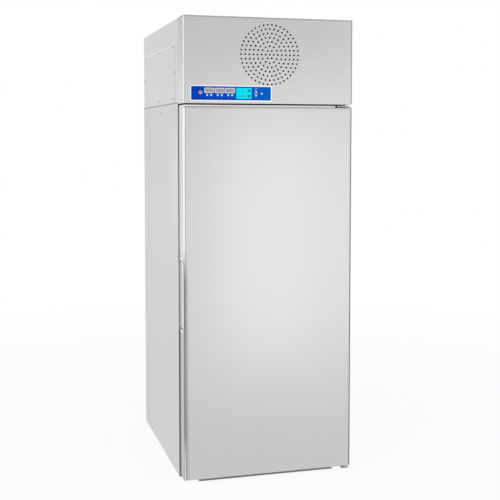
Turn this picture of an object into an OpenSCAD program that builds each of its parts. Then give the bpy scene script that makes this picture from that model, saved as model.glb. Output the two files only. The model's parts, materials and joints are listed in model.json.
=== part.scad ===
// Roll-in blast chiller: an insulated trolley chamber with one full-height door,
// and a machine module with a flip-up front hood on top of it.
// Millimetres. X runs to the right seen from the front, Y to the back, Z up.
// The origin is the centre of the footprint, on the floor.

/* [Cabinet] */
// Width of the cabinet over its side panels
cabinet_w = 830; // [750:5:910]
// Depth from the door face to the back edge
cabinet_d = 1110; // [1000:5:1250]
// Height to the top cover
cabinet_h = 2200; // [1980:5:2420]
// Height of the machine module on top of the insulated body
module_h = 400; // [360:5:440]
// Thickness of the insulated walls, skins included
wall_t = 75; // [65:1:80]
// Thickness of the outer side and back sheets
skin_t = 1.2; // [0.8:0.1:2]
// Thickness of the chamber liner sheet
liner_t = 1; // [0.6:0.1:1.5]
// Radius of the two rear corners of the chamber
liner_r = 25; // [10:1:40]
// Thickness of the chamber floor
floor_t = 16; // [12:1:18]
// How far the back panels sit in from the back edge
back_recess = 25; // [22:1:40]
// Depth of the dark door frame set into the front of the walls
frame_depth = 14; // [8:1:25]

/* [Door] */
// Thickness of the door
door_t = 106; // [90:1:115]
// Gap between the back of the door and the door frame
door_gap = 24; // [22:1:30]
// Height of the door's lower edge above the floor
door_clear = 21; // [20:1:30]
// Gap between the top of the door and the hood
door_top_gap = 14; // [14:1:20]
// Radius of the door's front edges
door_edge_r = 10; // [4:1:14]
// Thickness of the door's outer sheet
door_skin_t = 1; // [0.6:0.1:1.5]
// How far the raised inner panel of the door stands out
plug_h = 10; // [4:1:14]
// Width of the door gasket
gasket_w = 18; // [12:1:20]
// Distance from the door's edges to the gasket
gasket_inset = 38; // [30:1:40]

/* [Door hinge] */
// Distance from the door's side to the hinge axis
hinge_side = 15; // [13:1:20]
// Distance from the door face to the hinge axis
hinge_front = 32; // [26:1:40]
// Diameter of the hinge pins
hinge_pin_d = 12; // [8:0.5:14]
// Thickness of the hinge plates
hinge_plate_t = 5; // [3:0.5:6]
// Length of a hinge pin inside the door
hinge_pin_l = 30; // [20:1:50]

/* [Handle pocket] */
// Height of the handle pocket
handle_h = 334; // [200:2:500]
// Height of the pocket's centre above the floor
handle_z = 896; // [700:2:1100]
// Width of the pocket across the door's edge
handle_w = 88; // [70:1:90]
// Depth of the pocket
handle_d = 30; // [20:1:45]
// Distance from the back of the door to the pocket
handle_back = 5; // [4:0.5:8]
// Thickness of the pressed pocket
handle_t = 1.2; // [0.8:0.1:2]

/* [Hood] */
// Thickness of the hood sheet
hood_t = 1.2; // [0.8:0.1:2]
// Radius of the hood's vertical corners
hood_r = 4; // [2.5:0.5:8]
// Gap between the back of the hood and the casing
hood_gap = 6; // [5:0.5:10]
// Gap between the underside of the hood and the seam height
hood_drop = 3; // [0:0.5:5]
// Diameter of the hood's hinge pins
hood_pin_d = 5; // [4:0.5:6]
// Diameter of a vent hole
vent_hole_d = 9; // [4:0.5:10]
// Distance between the rings of vent holes
vent_pitch = 20; // [14:1:30]
// Gap between the vent field and the top of the hood
vent_gap = 33; // [25:1:60]

/* [Control panel] */
// Width of the control overlay
control_w = 384; // [370:1:400]
// Height of the control overlay
control_h = 64; // [54:1:70]
// Distance from the left side of the cabinet to the middle of the overlay
control_x = 228.5; // [212:0.5:240]
// Height of the overlay's centre above the underside of the hood
control_rise = 47; // [42:1:60]
// Thickness of the overlay
overlay_t = 0.8; // [0.5:0.1:1.5]
// Diameter of a round key
key_d = 9; // [7:0.5:11]
// Travel of a key
key_travel = 0.8; // [0.3:0.1:1.2]

/* [Machine module] */
// Thickness of the casing sheets
casing_t = 1.5; // [1:0.1:2]
// Thickness of the deck that carries the machinery
deck_t = 3; // [2.5:0.5:4]
// Width of the condenser's fin pack
condenser_w = 400; // [340:5:430]
// Height of the condenser's fin pack
condenser_h = 330; // [290:5:340]
// Distance from the tips of the condenser fan to the top and foot of the fins
condenser_fan_margin = 20; // [16:1:40]
// Radius of the compressor shell
compressor_r = 105; // [80:1:110]
// Height of the compressor shell
compressor_h = 310; // [270:5:320]

/* [Air side of the chamber] */
// Depth of the space behind the fan panel
evaporator_zone = 240; // [236:1:260]
// Gap between the fan panel and each side wall
fan_panel_side = 30; // [26:1:50]
// Depth of the fan panel's folded edges
fan_panel_fold = 24; // [16:1:30]
// Diameter of a chamber fan
chamber_fan_d = 340; // [260:5:350]
// Distance between evaporator fins
fin_pitch = 8; // [7:0.5:14]

/* [Hidden] */
$fn = 48;

// Clearances: a pin in its hole, two faces that only just miss, and a cut that runs past a surface.
running = 0.08;
face_gap = 0.3;
cut = 2;

// Colours.
steel = [0.80, 0.80, 0.80];
inner_steel = [0.74, 0.75, 0.76];
galvanised = [0.62, 0.64, 0.66];
foam_colour = [0.93, 0.88, 0.70];
seal_colour = [0.16, 0.16, 0.17];
aluminium = [0.82, 0.84, 0.86];
copper = [0.78, 0.45, 0.28];
black = [0.07, 0.07, 0.08];
overlay_blue = [0.02, 0.24, 0.72];
window_cyan = [0.15, 0.85, 0.95];
key_white = [0.82, 0.95, 1.00];

// Planes of the cabinet.
body_h = cabinet_h - module_h;
x_side = cabinet_w / 2;
y_front = -cabinet_d / 2;
y_back = cabinet_d / 2;
door_back = y_front + door_t;
frame_y = door_back + door_gap;
back_y = y_back - back_recess;
chamber_x = x_side - wall_t;
chamber_back = back_y - wall_t;
chamber_top = body_h - wall_t;
foam_front = frame_y + frame_depth;
foam_x = chamber_x + liner_t;
hood_z = body_h - hood_drop;
door_top = hood_z - door_top_gap;

// Door hinge.
axis_x = x_side - hinge_side;
axis_y = y_front + hinge_front;
hinge_pin_r = hinge_pin_d / 2;
bush_r = hinge_pin_r + 3;
bush_flange_r = bush_r + 2;
bush_flange_t = 2;
plate_reach = 14;
top_plate_z = door_top + bush_flange_t + 1;
top_plate_w = 68;
bottom_plate_z = 5;
plate_edge = 2;
flange_thinning = 1;
gasket_gap = 5;
gasket_side_gap = 2;
bottom_flange_h = 60;
pin_foot_z = 1;
pin_foot_lip = 1;
bush_end = 3;

// Door switch, in the gap over the door.
switch_side = 70;
switch_w = 40;
switch_d = 20;

// Raised panel and sweep on the back of the door.
plug_gap = 12;
plug_foot = 42;
plug_x = chamber_x - plug_gap;
plug_z = [door_clear + plug_foot, chamber_top - plug_gap];
plug_r = 20;
sweep_t = 8;
sweep_gap = 2;
sweep_foot = 1;
sweep_head_gap = 4;
sweep_lip = [2, 5];

// Ramp, bumper rails and probe clip.
ramp_nose = 2;
ramp_setback = 40;
ramp_y = y_front + ramp_setback;
function ramp_z(y) = ramp_nose + (floor_t - ramp_nose) * (y - ramp_y) / (frame_y - ramp_y);
rail_h = 40;
rail_t = 8;
rail_out = 14;
rail_end = 45;
rail_low_z = 280;
rail_spacer_r = 9;
rail_spacer_end = 40;
probe_setback = 130;
probe_y = frame_y + probe_setback;
probe_z = 1180;
probe_plate_w = 36;
probe_plate_h = 90;
probe_plate_t = 2;
probe_plate_r = 4;
probe_tube_r = 9;
probe_tube_l = 70;
probe_tube_t = 1.5;
probe_tube_floor = 4;
probe_arm = 15;
probe_arm_t = 6;
probe_arm_end = 5;

// Hood and its hinge.
key_proud = 0.6;
hood_face = y_front + overlay_t + key_proud;
hood_back = frame_y - hood_gap;
hood_pin_r = hood_pin_d / 2;
hood_axis_y = hood_back - 3;
boss_r = hood_pin_r + 2.5;
hood_axis_z = cabinet_h - hood_t - boss_r - 0.8;
hinge_bracket_t = 3;
bracket_drop = 13;
bracket_back = 45;
bracket_head_gap = 2;
hood_pin_end = 0.4;

// Control panel.
control_mid = control_x - x_side;
control_z = hood_z + control_rise;
overlay_front = hood_face - overlay_t;
overlay_r = 4;
cutout_margin = 5;
key_hole_gap = 0.2;
key_flange = 1;
key_flange_t = 1;
key_body = 3;
key_pocket = key_body + key_travel + key_hole_gap;
housing_d = 26;
board_cover_d = 10;
board_cover_inset = 8;
arrow_d = 13;
window_r = 2;
led_w = 42;
led_h = 20;
led_rise = 12.5;
led_first = -106.5;
led_pitch = 50;
led_key_offset = 9.75;
led_key_drop = 9;
lcd_w = 74;
lcd_h = 51;
lcd_x = 60.5;
side_key_x = 119;
enter_x = 147;
power_x = -147.5;
power_rise = 3;
arrow_rise = 10;
// Every key: its name, its place on the overlay, and 1 for an arrow up, -1 for an arrow down, 0 for a disc.
KEYS = concat(
    [["key_power", power_x, power_rise, 0]],
    [for (pair = [0:2], side = [-1, 1]) [str("key_", 2 * pair + (side + 3) / 2),
        led_first + pair * led_pitch + side * led_key_offset, -led_key_drop, 0]],
    [["key_up", side_key_x, arrow_rise, 1], ["key_down", side_key_x, -arrow_rise, -1]],
    [["key_enter", enter_x, 0, 0]]
);

// Vent field: as many rings as the height between the overlay and the top of the hood holds.
vent_overlay_gap = 11;
vent_span = [control_z + control_h / 2 + vent_overlay_gap, cabinet_h - vent_gap];
vent_z = (vent_span[0] + vent_span[1]) / 2;
vent_rings = floor((vent_span[1] - vent_z) / vent_pitch + 0.01);
hood_return = 26;

// Handle pocket.
pocket_y1 = door_back - handle_back;
pocket_y0 = pocket_y1 - handle_w;
pocket_bottom_w = 28;
pocket_lean = 3;
pocket_r = 20;
pocket_rim = 7;
pocket_rim_t = 1;

// Gasket on the back of the door.
gasket_base_t = 5;
gasket_head_t = 8;
gasket_neck_inset = 4;
gasket_z0 = door_clear + gasket_neck_inset;

// Air side of the chamber.
chamber_fans = 3;
fan_panel_y = chamber_back - evaporator_zone;
fan_panel_t = 1.5;
fan_panel_z0 = 150;
fan_panel_head = 115;
fan_panel_z1 = chamber_top - fan_panel_head;
fan_panel_w = 2 * (chamber_x - fan_panel_side);
fan_panel_x = fan_panel_w / 2;
knob_heights = [for (share = [0.25, 0.75]) fan_panel_z0 + share * (fan_panel_z1 - fan_panel_z0)];
knob_inset = 22;
knob_r = 12;
knob_l = 16;
panel_axis_x = fan_panel_x - 6;
panel_axis_y = fan_panel_y + fan_panel_fold / 2;
panel_pin_r = 4;
panel_bracket_t = 4;
panel_bracket_gap = 3;
panel_bracket_d = 22;
panel_bracket_h = 30;
panel_pin_l = 12;
panel_bracket_leg_t = 3;
panel_boss_t = 4;
panel_stop_h = 40;
panel_stop_t = 3;
fan_pitch_z = (fan_panel_z1 - fan_panel_z0) / chamber_fans;
function fan_z(i) = fan_panel_z0 + (i + 0.5) * fan_pitch_z;
fan_r = chamber_fan_d / 2;
ring_gap = 8;
ring_t = 2;
ring_depth = 18;
fan_start = 6;
fan_depth = 36;
fan_hub_r = 38;
shaft_r = 4;
motor_r = 45;
motor_start = fan_start + fan_depth + 3;
motor_l = 68;
motor_shaft_l = 26;
arm_reach = 16;
arm_back = 14;
arm_w = 12;
arm_t = 5;
arm_lap = 3;
motor_boss_h = 6;
blade_t = 2.5;
blade_root = 4;
chamber_chord = 96;
hub_cap = 8;
guard_out = 22;
guard_wire = 3;
guard_rings = 6;
guard_spokes = 4;

// Evaporator.
coil_back = 8;
coil_d = 107;
coil_left = 50;
coil_right = 70;
coil_head = 85;
coil_y1 = chamber_back - coil_back;
coil_y0 = coil_y1 - coil_d;
coil_x0 = coil_left - chamber_x;
coil_x1 = chamber_x - coil_right;
coil_z0 = 140;
coil_z1 = chamber_top - coil_head;
end_plate_t = 2;
end_plate_rise = 8;
end_plate_front = 4;
end_plate_lap = 0.5;
fin_t = 0.8;
fin_groove = 14;
bend_first = 60;
bend_pitch = 90;
bend_r = 6;
bend_columns = [20, 60];
header_side = 22;
suction_back = 25;
liquid_back = 75;
header_head = 35;
header_x = header_side - chamber_x;
suction_y = chamber_back - suction_back;
liquid_y = chamber_back - liquid_back;
header_z0 = 200;
header_z1 = chamber_top - header_head;
header_stub_r = 4;
header_stub_low = 20;
header_stub_high = 80;
suction_r = 11;
liquid_r = 6;
tray_z = 75;
tray_h = 45;
tray_t = 1.5;
tray_left = 20;
tray_right = 28;
tray_front = 12;
tray_back = 3;
tray_x0 = coil_x0 - tray_left;
tray_x1 = coil_x1 + tray_right;
tray_y0 = coil_y0 - tray_front;
tray_y1 = chamber_back - tray_back;
tray_foot_w = 20;
tray_foot_x = 30;
tray_foot_y = 10;
drain_r = 14;
drain_bore_r = 12;
drain_back = 60;
drain_y = chamber_back - drain_back;
drain_z = 50;
drain_bend = 22;
drain_out = 22;

// Machine module.
deck_top = body_h + deck_t;
casing_z0 = body_h + 2;
casing_top = cabinet_h - casing_t;
casing_x = x_side - 2 * casing_t;
casing_lip = 22;
access_front = 73;
access_back = 5;
access_foot = 15;
access_h = 273;
access_y = [frame_y + access_front, back_y - access_back];
access_z = [body_h + access_foot, body_h + access_foot + access_h];
access_border = 30;
screw_inset = 11;
screw_end = 47;
screw_l = 4;
screw_r = 2;
screw_head_r = 4.5;
screw_head_t = 2;
// Screws of one access panel, as [y, z]: three along the top, three along the bottom, one at each end.
access_mid_y = (access_y[0] + access_y[1]) / 2;
access_mid_z = (access_z[0] + access_z[1]) / 2;
screw_rows = [access_z[0] + screw_inset, access_z[1] - screw_inset];
SCREWS = concat(
    [for (y = [access_y[0] + screw_end, access_mid_y, access_y[1] - screw_end], z = screw_rows) [y, z]],
    [for (y = [access_y[0] + screw_inset, access_y[1] - screw_inset]) [y, access_mid_z]]
);
louvre_w = 150;
louvre_r = 4;
louvre_x = 180;
louvre_pitch = 28;
louvre_foot = 95;
louvre_head = 45;
louvre_rows = floor((module_h - louvre_foot - louvre_head) / louvre_pitch);

condenser_front = 95;
condenser_d = 60;
condenser_foot = 15;
condenser_pitch = 8;
condenser_x = condenser_w / 2;
condenser_y = [frame_y + condenser_front, frame_y + condenser_front + condenser_d];
condenser_z = [deck_top + condenser_foot, deck_top + condenser_foot + condenser_h];
condenser_fan_z = (condenser_z[0] + condenser_z[1]) / 2;
condenser_fan_d = condenser_h - 2 * condenser_fan_margin;
condenser_fan_r = condenser_fan_d / 2;
condenser_fan_depth = 40;
condenser_hub_r = 36;
condenser_chord = 92;
condenser_header_out = 13;
condenser_header_x = -condenser_x - condenser_header_out;
condenser_port_z = [30, 25];
condenser_out_z = condenser_z[0] + condenser_port_z[0];
condenser_in_z = condenser_z[1] - condenser_port_z[1];
condenser_motor_r = 40;
condenser_motor_l = 62;
shroud_d = 45;
shroud_t = 1.5;
shroud_gap = 6;
shroud_ring_l = 10;
shroud_back = condenser_y[1] + shroud_d;
condenser_fan_inset = 32;
condenser_fan_y = shroud_back - condenser_fan_inset;
stub_l = 20;
pipe_bend = 25;

compressor_x = condenser_header_x;
compressor_y = 190;
foot_h = 22;
base_t = 5;
base_half = 95;
foot_inset = 18;
foot_r = 15;
compressor_z = deck_top + foot_h + base_t;
seam_t = 3;
seam_h = 16;
terminal_d = 42;
terminal_w = 76;
terminal_z = 90;
terminal_h = 110;
discharge_r = 7;
discharge_drop = 73;
discharge_z = condenser_in_z - discharge_drop;
suction_port_z = compressor_z + compressor_h / 2 + 5;

receiver_x = 70;
receiver_y = 60;
receiver_r = 55;
receiver_foot = 10;
receiver_h = 250;
receiver_z = deck_top + receiver_foot;
receiver_top = receiver_z + receiver_h;
receiver_port = 22;
receiver_port_l = 15;
pipe_rise = 35;
pipe_run_z = receiver_top + receiver_port_l + pipe_rise;
pipe_step = 60;
pipe_detour = 115;
liquid_run = 57;
liquid_run_z = deck_top + liquid_run;
drier_y = 300;
drier_r = 24;
drier_taper = 16;
drier_foot = 70;
drier_head = 43;
drier_z = [liquid_run_z + drier_foot, pipe_run_z - drier_head];

box_side = 30;
box_condenser_gap = 45;
box_front = 30;
box_d = 140;
box_h = 240;
box_lid_t = 2;
box_lid_h = 18;
box_entry_x = 35;
box_entry_z = 60;
box_entry_r = 11;
box_entry_l = 14;

gland_side = 115;
gland_rise = 50;
gland_x = x_side - gland_side;
gland_z = deck_top + gland_rise;
gland_bore_r = 6.5;
gland_r = 10;
gland_hex_r = 17;

// A box from the two ends of its span along each axis.
module block(x, y, z) {
    translate([x[0], y[0], z[0]]) cube([x[1] - x[0], y[1] - y[0], z[1] - z[0]]);
}

module both_sides() {
    children();
    mirror([1, 0, 0]) children();
}

// A cylinder from y[0] to y[1] on the line through x and z.
module rod_y(x, z, y, r) {
    translate([x, y[0], z]) rotate([-90, 0, 0]) cylinder(r = r, h = y[1] - y[0]);
}

// A cylinder from x[0] to x[1] on the line through y and z.
module rod_x(y, z, x, r) {
    translate([x[0], y, z]) rotate([0, 90, 0]) cylinder(r = r, h = x[1] - x[0]);
}

// A flat shape drawn in Y and Z, extruded from x[0] to x[1].
module across(x) {
    translate([x[0], 0, 0]) rotate([90, 0, 90]) linear_extrude(x[1] - x[0]) children();
}

// A flat shape drawn in X and Z, extruded from y[0] to y[1].
module through(y) {
    translate([0, y[1], 0]) rotate([90, 0, 0]) linear_extrude(y[1] - y[0]) children();
}

module round_rect(a, b, r) {
    translate([a[0] + r, b[0]]) square([a[1] - a[0] - 2 * r, b[1] - b[0]]);
    translate([a[0], b[0] + r]) square([a[1] - a[0], b[1] - b[0] - 2 * r]);
    for (u = [a[0] + r, a[1] - r], v = [b[0] + r, b[1] - r]) translate([u, v]) circle(r);
}

// A plan outline whose two front corners are round.
module front_rounded(half_w, y, r) {
    translate([-half_w, y[0] + r]) square([2 * half_w, y[1] - y[0] - r]);
    translate([r - half_w, y[0]]) square([2 * half_w - 2 * r, r + cut]);
    for (x = [r - half_w, half_w - r]) translate([x, y[0] + r]) circle(r);
}

// ---------------------------------------------------------------- insulated body

module side_panels() {
    color(steel) both_sides()
        block([x_side - skin_t, x_side], [frame_y, y_back], [0, body_h]);
}

module back_panel() {
    color(galvanised) difference() {
        block([skin_t - x_side, x_side - skin_t], [back_y - skin_t, back_y], [0, body_h]);
        rod_y(0, drain_z, [back_y - cut - skin_t, back_y + cut], drain_r);
    }
}

// The foam between the skins: two sides, the back and the ceiling.
module wall_foam() {
    foam_back = back_y - skin_t;
    color(foam_colour) {
        both_sides() block([foam_x, x_side - skin_t], [foam_front, foam_back], [0, body_h]);
        difference() {
            block([face_gap - foam_x, foam_x - face_gap], [chamber_back + liner_t, foam_back], [0, body_h]);
            rod_y(0, drain_z, [chamber_back, back_y], drain_r);
        }
        difference() {
            block([face_gap - foam_x, foam_x - face_gap], [foam_front, chamber_back + liner_t - face_gap],
                [chamber_top + liner_t, body_h]);
            pipe_passages(chamber_top, body_h + cut);
        }
    }
}

module pipe_passages(z0, z1) {
    translate([header_x, suction_y, z0]) cylinder(r = suction_r + 1, h = z1 - z0);
    translate([header_x, liquid_y, z0]) cylinder(r = liquid_r + 1, h = z1 - z0);
}

// Plan of the chamber, grown outwards, from a front plane to the back wall with its round corners.
module chamber_plan(grow, front) {
    mirror([0, 1]) front_rounded(chamber_x + grow, [-chamber_back - grow, -front], liner_r + grow);
}

module chamber_liner() {
    color(inner_steel) difference() {
        linear_extrude(chamber_top + liner_t) chamber_plan(liner_t, foam_front);
        translate([0, 0, -cut]) linear_extrude(chamber_top + cut) chamber_plan(0, foam_front - cut);
        pipe_passages(chamber_top - cut, chamber_top + liner_t + cut);
        rod_y(0, drain_z, [chamber_back - cut, chamber_back + liner_t + cut], drain_r);
    }
}

// Two posts and a lintel of a dark profile that stops heat between the sheets, butted at the corners.
module door_frame() {
    color(black) {
        both_sides() block([chamber_x, x_side - skin_t], [frame_y, foam_front], [0, chamber_top - face_gap]);
        block([skin_t - x_side, x_side - skin_t], [frame_y, foam_front], [chamber_top, body_h]);
    }
}

module floor_pan() {
    color(inner_steel) linear_extrude(floor_t) chamber_plan(0, frame_y);
}

module threshold_ramp() {
    color(steel) across([plate_edge - chamber_x, chamber_x - plate_edge])
        polygon([[ramp_y, 0], [frame_y, 0], [frame_y, floor_t], [ramp_y, ramp_nose]]);
}

// Trolley bumpers: two flat rails on spacers along each wall.
module bumper_rails() {
    y = [frame_y + rail_end, fan_panel_y - rail_end];
    spacers = [y[0] + rail_spacer_end, (y[0] + y[1]) / 2, y[1] - rail_spacer_end];
    color(steel) both_sides() for (z = [rail_low_z, body_h / 2]) {
        across([chamber_x - rail_out - rail_t, chamber_x - rail_out])
            round_rect(y, [z - rail_h / 2, z + rail_h / 2], rail_h / 2 - 1);
        for (at = spacers) rod_x(at, z, [chamber_x - rail_out, chamber_x], rail_spacer_r);
    }
}

// Drain of the drip tray: down from the tray, round a bend, and out through the back wall.
module drain_pipe() {
    module line(r, extra) {
        translate([0, drain_y, drain_z + drain_bend])
            cylinder(r = r, h = tray_z - drain_z - drain_bend + extra);
        translate([0, drain_y + drain_bend, drain_z + drain_bend]) rotate([90, 0, -90]) rotate([0, 0, -90])
            rotate_extrude(angle = 90) translate([drain_bend, 0]) circle(r);
        rod_y(0, drain_z, [drain_y + drain_bend, back_y + drain_out + extra], r);
    }
    color(black) difference() {
        line(drain_r, 0);
        line(drain_bore_r, cut);
    }
}

// Wall clip for the core probe: a plate with a short open tube.
module probe_holder() {
    tube_z = probe_z + (probe_plate_h - probe_tube_l) / 2;
    color(steel) difference() {
        union() {
            across([-chamber_x, probe_plate_t - chamber_x])
                round_rect([probe_y - probe_plate_w / 2, probe_y + probe_plate_w / 2],
                    [probe_z, probe_z + probe_plate_h], probe_plate_r);
            block([-chamber_x, probe_arm - chamber_x], [probe_y - probe_arm_t / 2, probe_y + probe_arm_t / 2],
                [tube_z + probe_arm_end, tube_z + probe_tube_l - probe_arm_end]);
            translate([probe_arm - chamber_x, probe_y, tube_z]) cylinder(r = probe_tube_r, h = probe_tube_l);
        }
        translate([probe_arm - chamber_x, probe_y, tube_z + probe_tube_floor])
            cylinder(r = probe_tube_r - probe_tube_t, h = probe_tube_l);
    }
}

// ---------------------------------------------------------------- door hinge

module hinge_brackets() {
    plate_y = [axis_y - plate_reach, frame_y];
    top_x = [x_side - plate_edge - top_plate_w, x_side - plate_edge];
    bottom_x = [x_side - gasket_inset + gasket_side_gap, x_side - plate_edge];
    flange_y = [frame_y - hinge_plate_t + flange_thinning, frame_y];
    bottom_top = bottom_plate_z + hinge_plate_t;
    color(steel) {
        block(top_x, plate_y, [top_plate_z, top_plate_z + hinge_plate_t]);
        block(top_x, flange_y, [door_top - gasket_inset + gasket_gap, top_plate_z]);
        translate([axis_x, axis_y, door_top - hinge_pin_l])
            cylinder(r = hinge_pin_r, h = hinge_pin_l + top_plate_z - door_top + 1);
        block(bottom_x, plate_y, [bottom_plate_z, bottom_top]);
        block(bottom_x, flange_y, [bottom_top, bottom_top + bottom_flange_h]);
        translate([axis_x, axis_y, bottom_plate_z])
            cylinder(r = hinge_pin_r, h = door_clear + hinge_pin_l - bottom_plate_z);
        translate([axis_x, axis_y, bottom_plate_z])
            cylinder(r = bush_r, h = door_clear - bush_flange_t - face_gap - bottom_plate_z);
        translate([axis_x, axis_y, pin_foot_z]) cylinder(r = hinge_pin_r + pin_foot_lip, h = bottom_plate_z);
    }
}

// One nylon bush with the pin's bore, flange downwards.
module bush() {
    difference() {
        union() {
            cylinder(r = bush_r, h = hinge_pin_l + bush_end);
            translate([0, 0, -bush_flange_t]) cylinder(r = bush_flange_r, h = bush_flange_t);
        }
        translate([0, 0, -bush_flange_t - cut])
            cylinder(r = hinge_pin_r + running, h = hinge_pin_l + bush_flange_t + cut + bush_end / 2);
    }
}

module at_bushes() {
    translate([axis_x, axis_y, door_clear]) children();
    translate([axis_x, axis_y, door_top]) mirror([0, 0, 1]) children();
}

module hinge_bushes() {
    color(key_white) at_bushes() bush();
}

module door_switch() {
    color(black) block([switch_side - x_side, switch_side + switch_w - x_side], [frame_y - switch_d, frame_y],
        [door_top + 2, hood_z - 1]);
}

// ---------------------------------------------------------------- door

// The door's outer form, shrunk by a sheet thickness, from its front to a back plane.
module door_form(shrink, back) {
    r = door_edge_r - shrink;
    intersection() {
        translate([0, 0, door_clear + shrink]) linear_extrude(door_top - door_clear - 2 * shrink)
            front_rounded(x_side - shrink, [y_front + shrink, back], r);
        across([-x_side, x_side]) {
            translate([y_front + shrink + r, door_clear + shrink])
                square([back - y_front - shrink - r, door_top - door_clear - 2 * shrink]);
            translate([y_front + shrink, door_clear + shrink + r])
                square([r + cut, door_top - door_clear - 2 * shrink - 2 * r]);
            for (z = [door_clear + shrink + r, door_top - shrink - r])
                translate([y_front + shrink + r, z]) circle(r);
        }
    }
}

// The pocket's form, grown by its sheet: a sloping back wall, a flat bottom and a steep front wall.
module pocket_form(grow, outside) {
    x0 = -x_side;
    intersection() {
        translate([0, 0, handle_z - handle_h / 2 - grow]) linear_extrude(handle_h + 2 * grow)
            polygon([
                [x0 - outside, pocket_y1 + grow], [x0, pocket_y1 + grow],
                [x0 + handle_d + grow, pocket_y0 + pocket_bottom_w + grow],
                [x0 + handle_d + grow, pocket_y0 + pocket_lean - grow],
                [x0, pocket_y0 - grow], [x0 - outside, pocket_y0 - grow]
            ]);
        across([x0 - outside, x0 + handle_d + grow])
            round_rect([pocket_y0 - grow, pocket_y1 + grow],
                [handle_z - handle_h / 2 - grow, handle_z + handle_h / 2 + grow], pocket_r + grow);
    }
}

module handle_pocket() {
    color(steel) difference() {
        union() {
            pocket_form(handle_t, 0);
            across([-x_side - pocket_rim_t, -x_side])
                round_rect([pocket_y0 - pocket_rim, pocket_y1 + handle_back - 1],
                    [handle_z - handle_h / 2 - pocket_rim, handle_z + handle_h / 2 + pocket_rim], pocket_r);
        }
        pocket_form(0, cut);
    }
}

module door_skin() {
    color(steel) difference() {
        door_form(0, door_back);
        door_form(door_skin_t, door_back + cut);
        pocket_form(handle_t, cut);
        for (z = [door_clear - cut, door_top - door_skin_t - cut])
            translate([axis_x, axis_y, z]) cylinder(r = bush_r, h = door_skin_t + 2 * cut);
    }
}

module door_foam() {
    color(foam_colour) difference() {
        door_form(door_skin_t, door_back - liner_t);
        pocket_form(handle_t, cut);
        at_bushes() translate([0, 0, -cut]) cylinder(r = bush_r, h = hinge_pin_l + bush_end + cut);
    }
}

module door_liner() {
    edge_x = x_side - door_skin_t;
    color(inner_steel) {
        block([-edge_x, edge_x], [door_back - liner_t, door_back],
            [door_clear + door_skin_t, door_top - door_skin_t]);
        through([door_back, door_back + plug_h]) round_rect([-plug_x, plug_x], plug_z, plug_r);
    }
}

// One layer of the gasket: two uprights joined across the top.
module gasket_layer(inset, w, y) {
    outer = x_side - gasket_inset - inset;
    top = door_top - gasket_inset - inset;
    difference() {
        block([-outer, outer], y, [gasket_z0, top]);
        block([w - outer, outer - w], [y[0] - cut, y[1] + cut], [gasket_z0 - cut, top - w]);
    }
}

module door_gasket() {
    head_y = frame_y - face_gap;
    color(seal_colour) {
        gasket_layer(0, gasket_w, [door_back, door_back + gasket_base_t]);
        gasket_layer(gasket_neck_inset, gasket_w - 2 * gasket_neck_inset,
            [door_back + gasket_base_t, head_y - gasket_head_t]);
        gasket_layer(1, gasket_w - 2, [head_y - gasket_head_t, head_y]);
    }
}

module door_sweep() {
    sweep_x = x_side - gasket_inset - gasket_w - sweep_gap;
    lip = ramp_z(door_back + sweep_t) + sweep_foot;
    color(seal_colour) {
        block([-sweep_x, sweep_x], [door_back, door_back + sweep_t],
            [door_clear + sweep_foot, plug_z[0] - sweep_head_gap]);
        block([-sweep_x, sweep_x], [door_back + sweep_lip[0], door_back + sweep_lip[1]],
            [lip, door_clear + sweep_foot]);
    }
}

// ---------------------------------------------------------------- fan panel

// Places a child at each chamber fan, with its Z axis along the cabinet's Y axis.
module at_fan(i) {
    translate([0, fan_panel_y, fan_z(i)]) rotate([-90, 0, 0]) children();
}

module fan_panel() {
    color(inner_steel) difference() {
        union() {
            difference() {
                block([-fan_panel_x, fan_panel_x], [fan_panel_y, fan_panel_y + fan_panel_fold],
                    [fan_panel_z0, fan_panel_z1]);
                block([fan_panel_t - fan_panel_x, fan_panel_x - fan_panel_t],
                    [fan_panel_y + fan_panel_t, fan_panel_y + fan_panel_fold + cut],
                    [fan_panel_z0 + fan_panel_t, fan_panel_z1 - fan_panel_t]);
            }
            for (i = [0:chamber_fans - 1]) at_fan(i) cylinder(r = fan_r + ring_gap + ring_t, h = ring_depth);
            for (z = knob_heights)
                rod_y(knob_inset - fan_panel_x, z, [fan_panel_y - knob_l, fan_panel_y], knob_r);
        }
        for (i = [0:chamber_fans - 1]) at_fan(i)
            translate([0, 0, -cut]) cylinder(r = fan_r + ring_gap, h = ring_depth + 2 * cut);
        for (z = [fan_panel_z0 - cut, fan_panel_z1 - fan_panel_t - cut])
            translate([panel_axis_x, panel_axis_y, z])
                cylinder(r = panel_pin_r + running, h = fan_panel_t + 2 * cut);
    }
}

// Pivots of the fan panel on the right wall, and the two stops that its free edge rests against.
module fan_panel_brackets() {
    lift = panel_bracket_t + panel_bracket_gap;
    plate_y = [panel_axis_y - panel_bracket_d / 2, panel_axis_y + panel_bracket_d / 2];
    module pivot() {
        block([panel_axis_x - panel_bracket_d / 2, chamber_x], plate_y, [0, panel_bracket_t]);
        block([chamber_x - panel_bracket_leg_t, chamber_x], plate_y, [-panel_bracket_h, panel_bracket_t]);
        translate([panel_axis_x, panel_axis_y, 0]) cylinder(r = panel_pin_r, h = lift + panel_pin_l);
        translate([panel_axis_x, panel_axis_y, 0]) cylinder(r = panel_pin_r + panel_boss_t, h = lift - face_gap);
    }
    stop_y = fan_panel_y + fan_panel_fold + face_gap;
    color(steel) {
        translate([0, 0, fan_panel_z0 - lift]) pivot();
        translate([0, 0, fan_panel_z1 + lift]) mirror([0, 0, 1]) pivot();
        for (z = knob_heights)
            block([-chamber_x, knob_inset - fan_panel_x], [stop_y, stop_y + panel_stop_t],
                [z - panel_stop_h / 2, z + panel_stop_h / 2]);
    }
}

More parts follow.
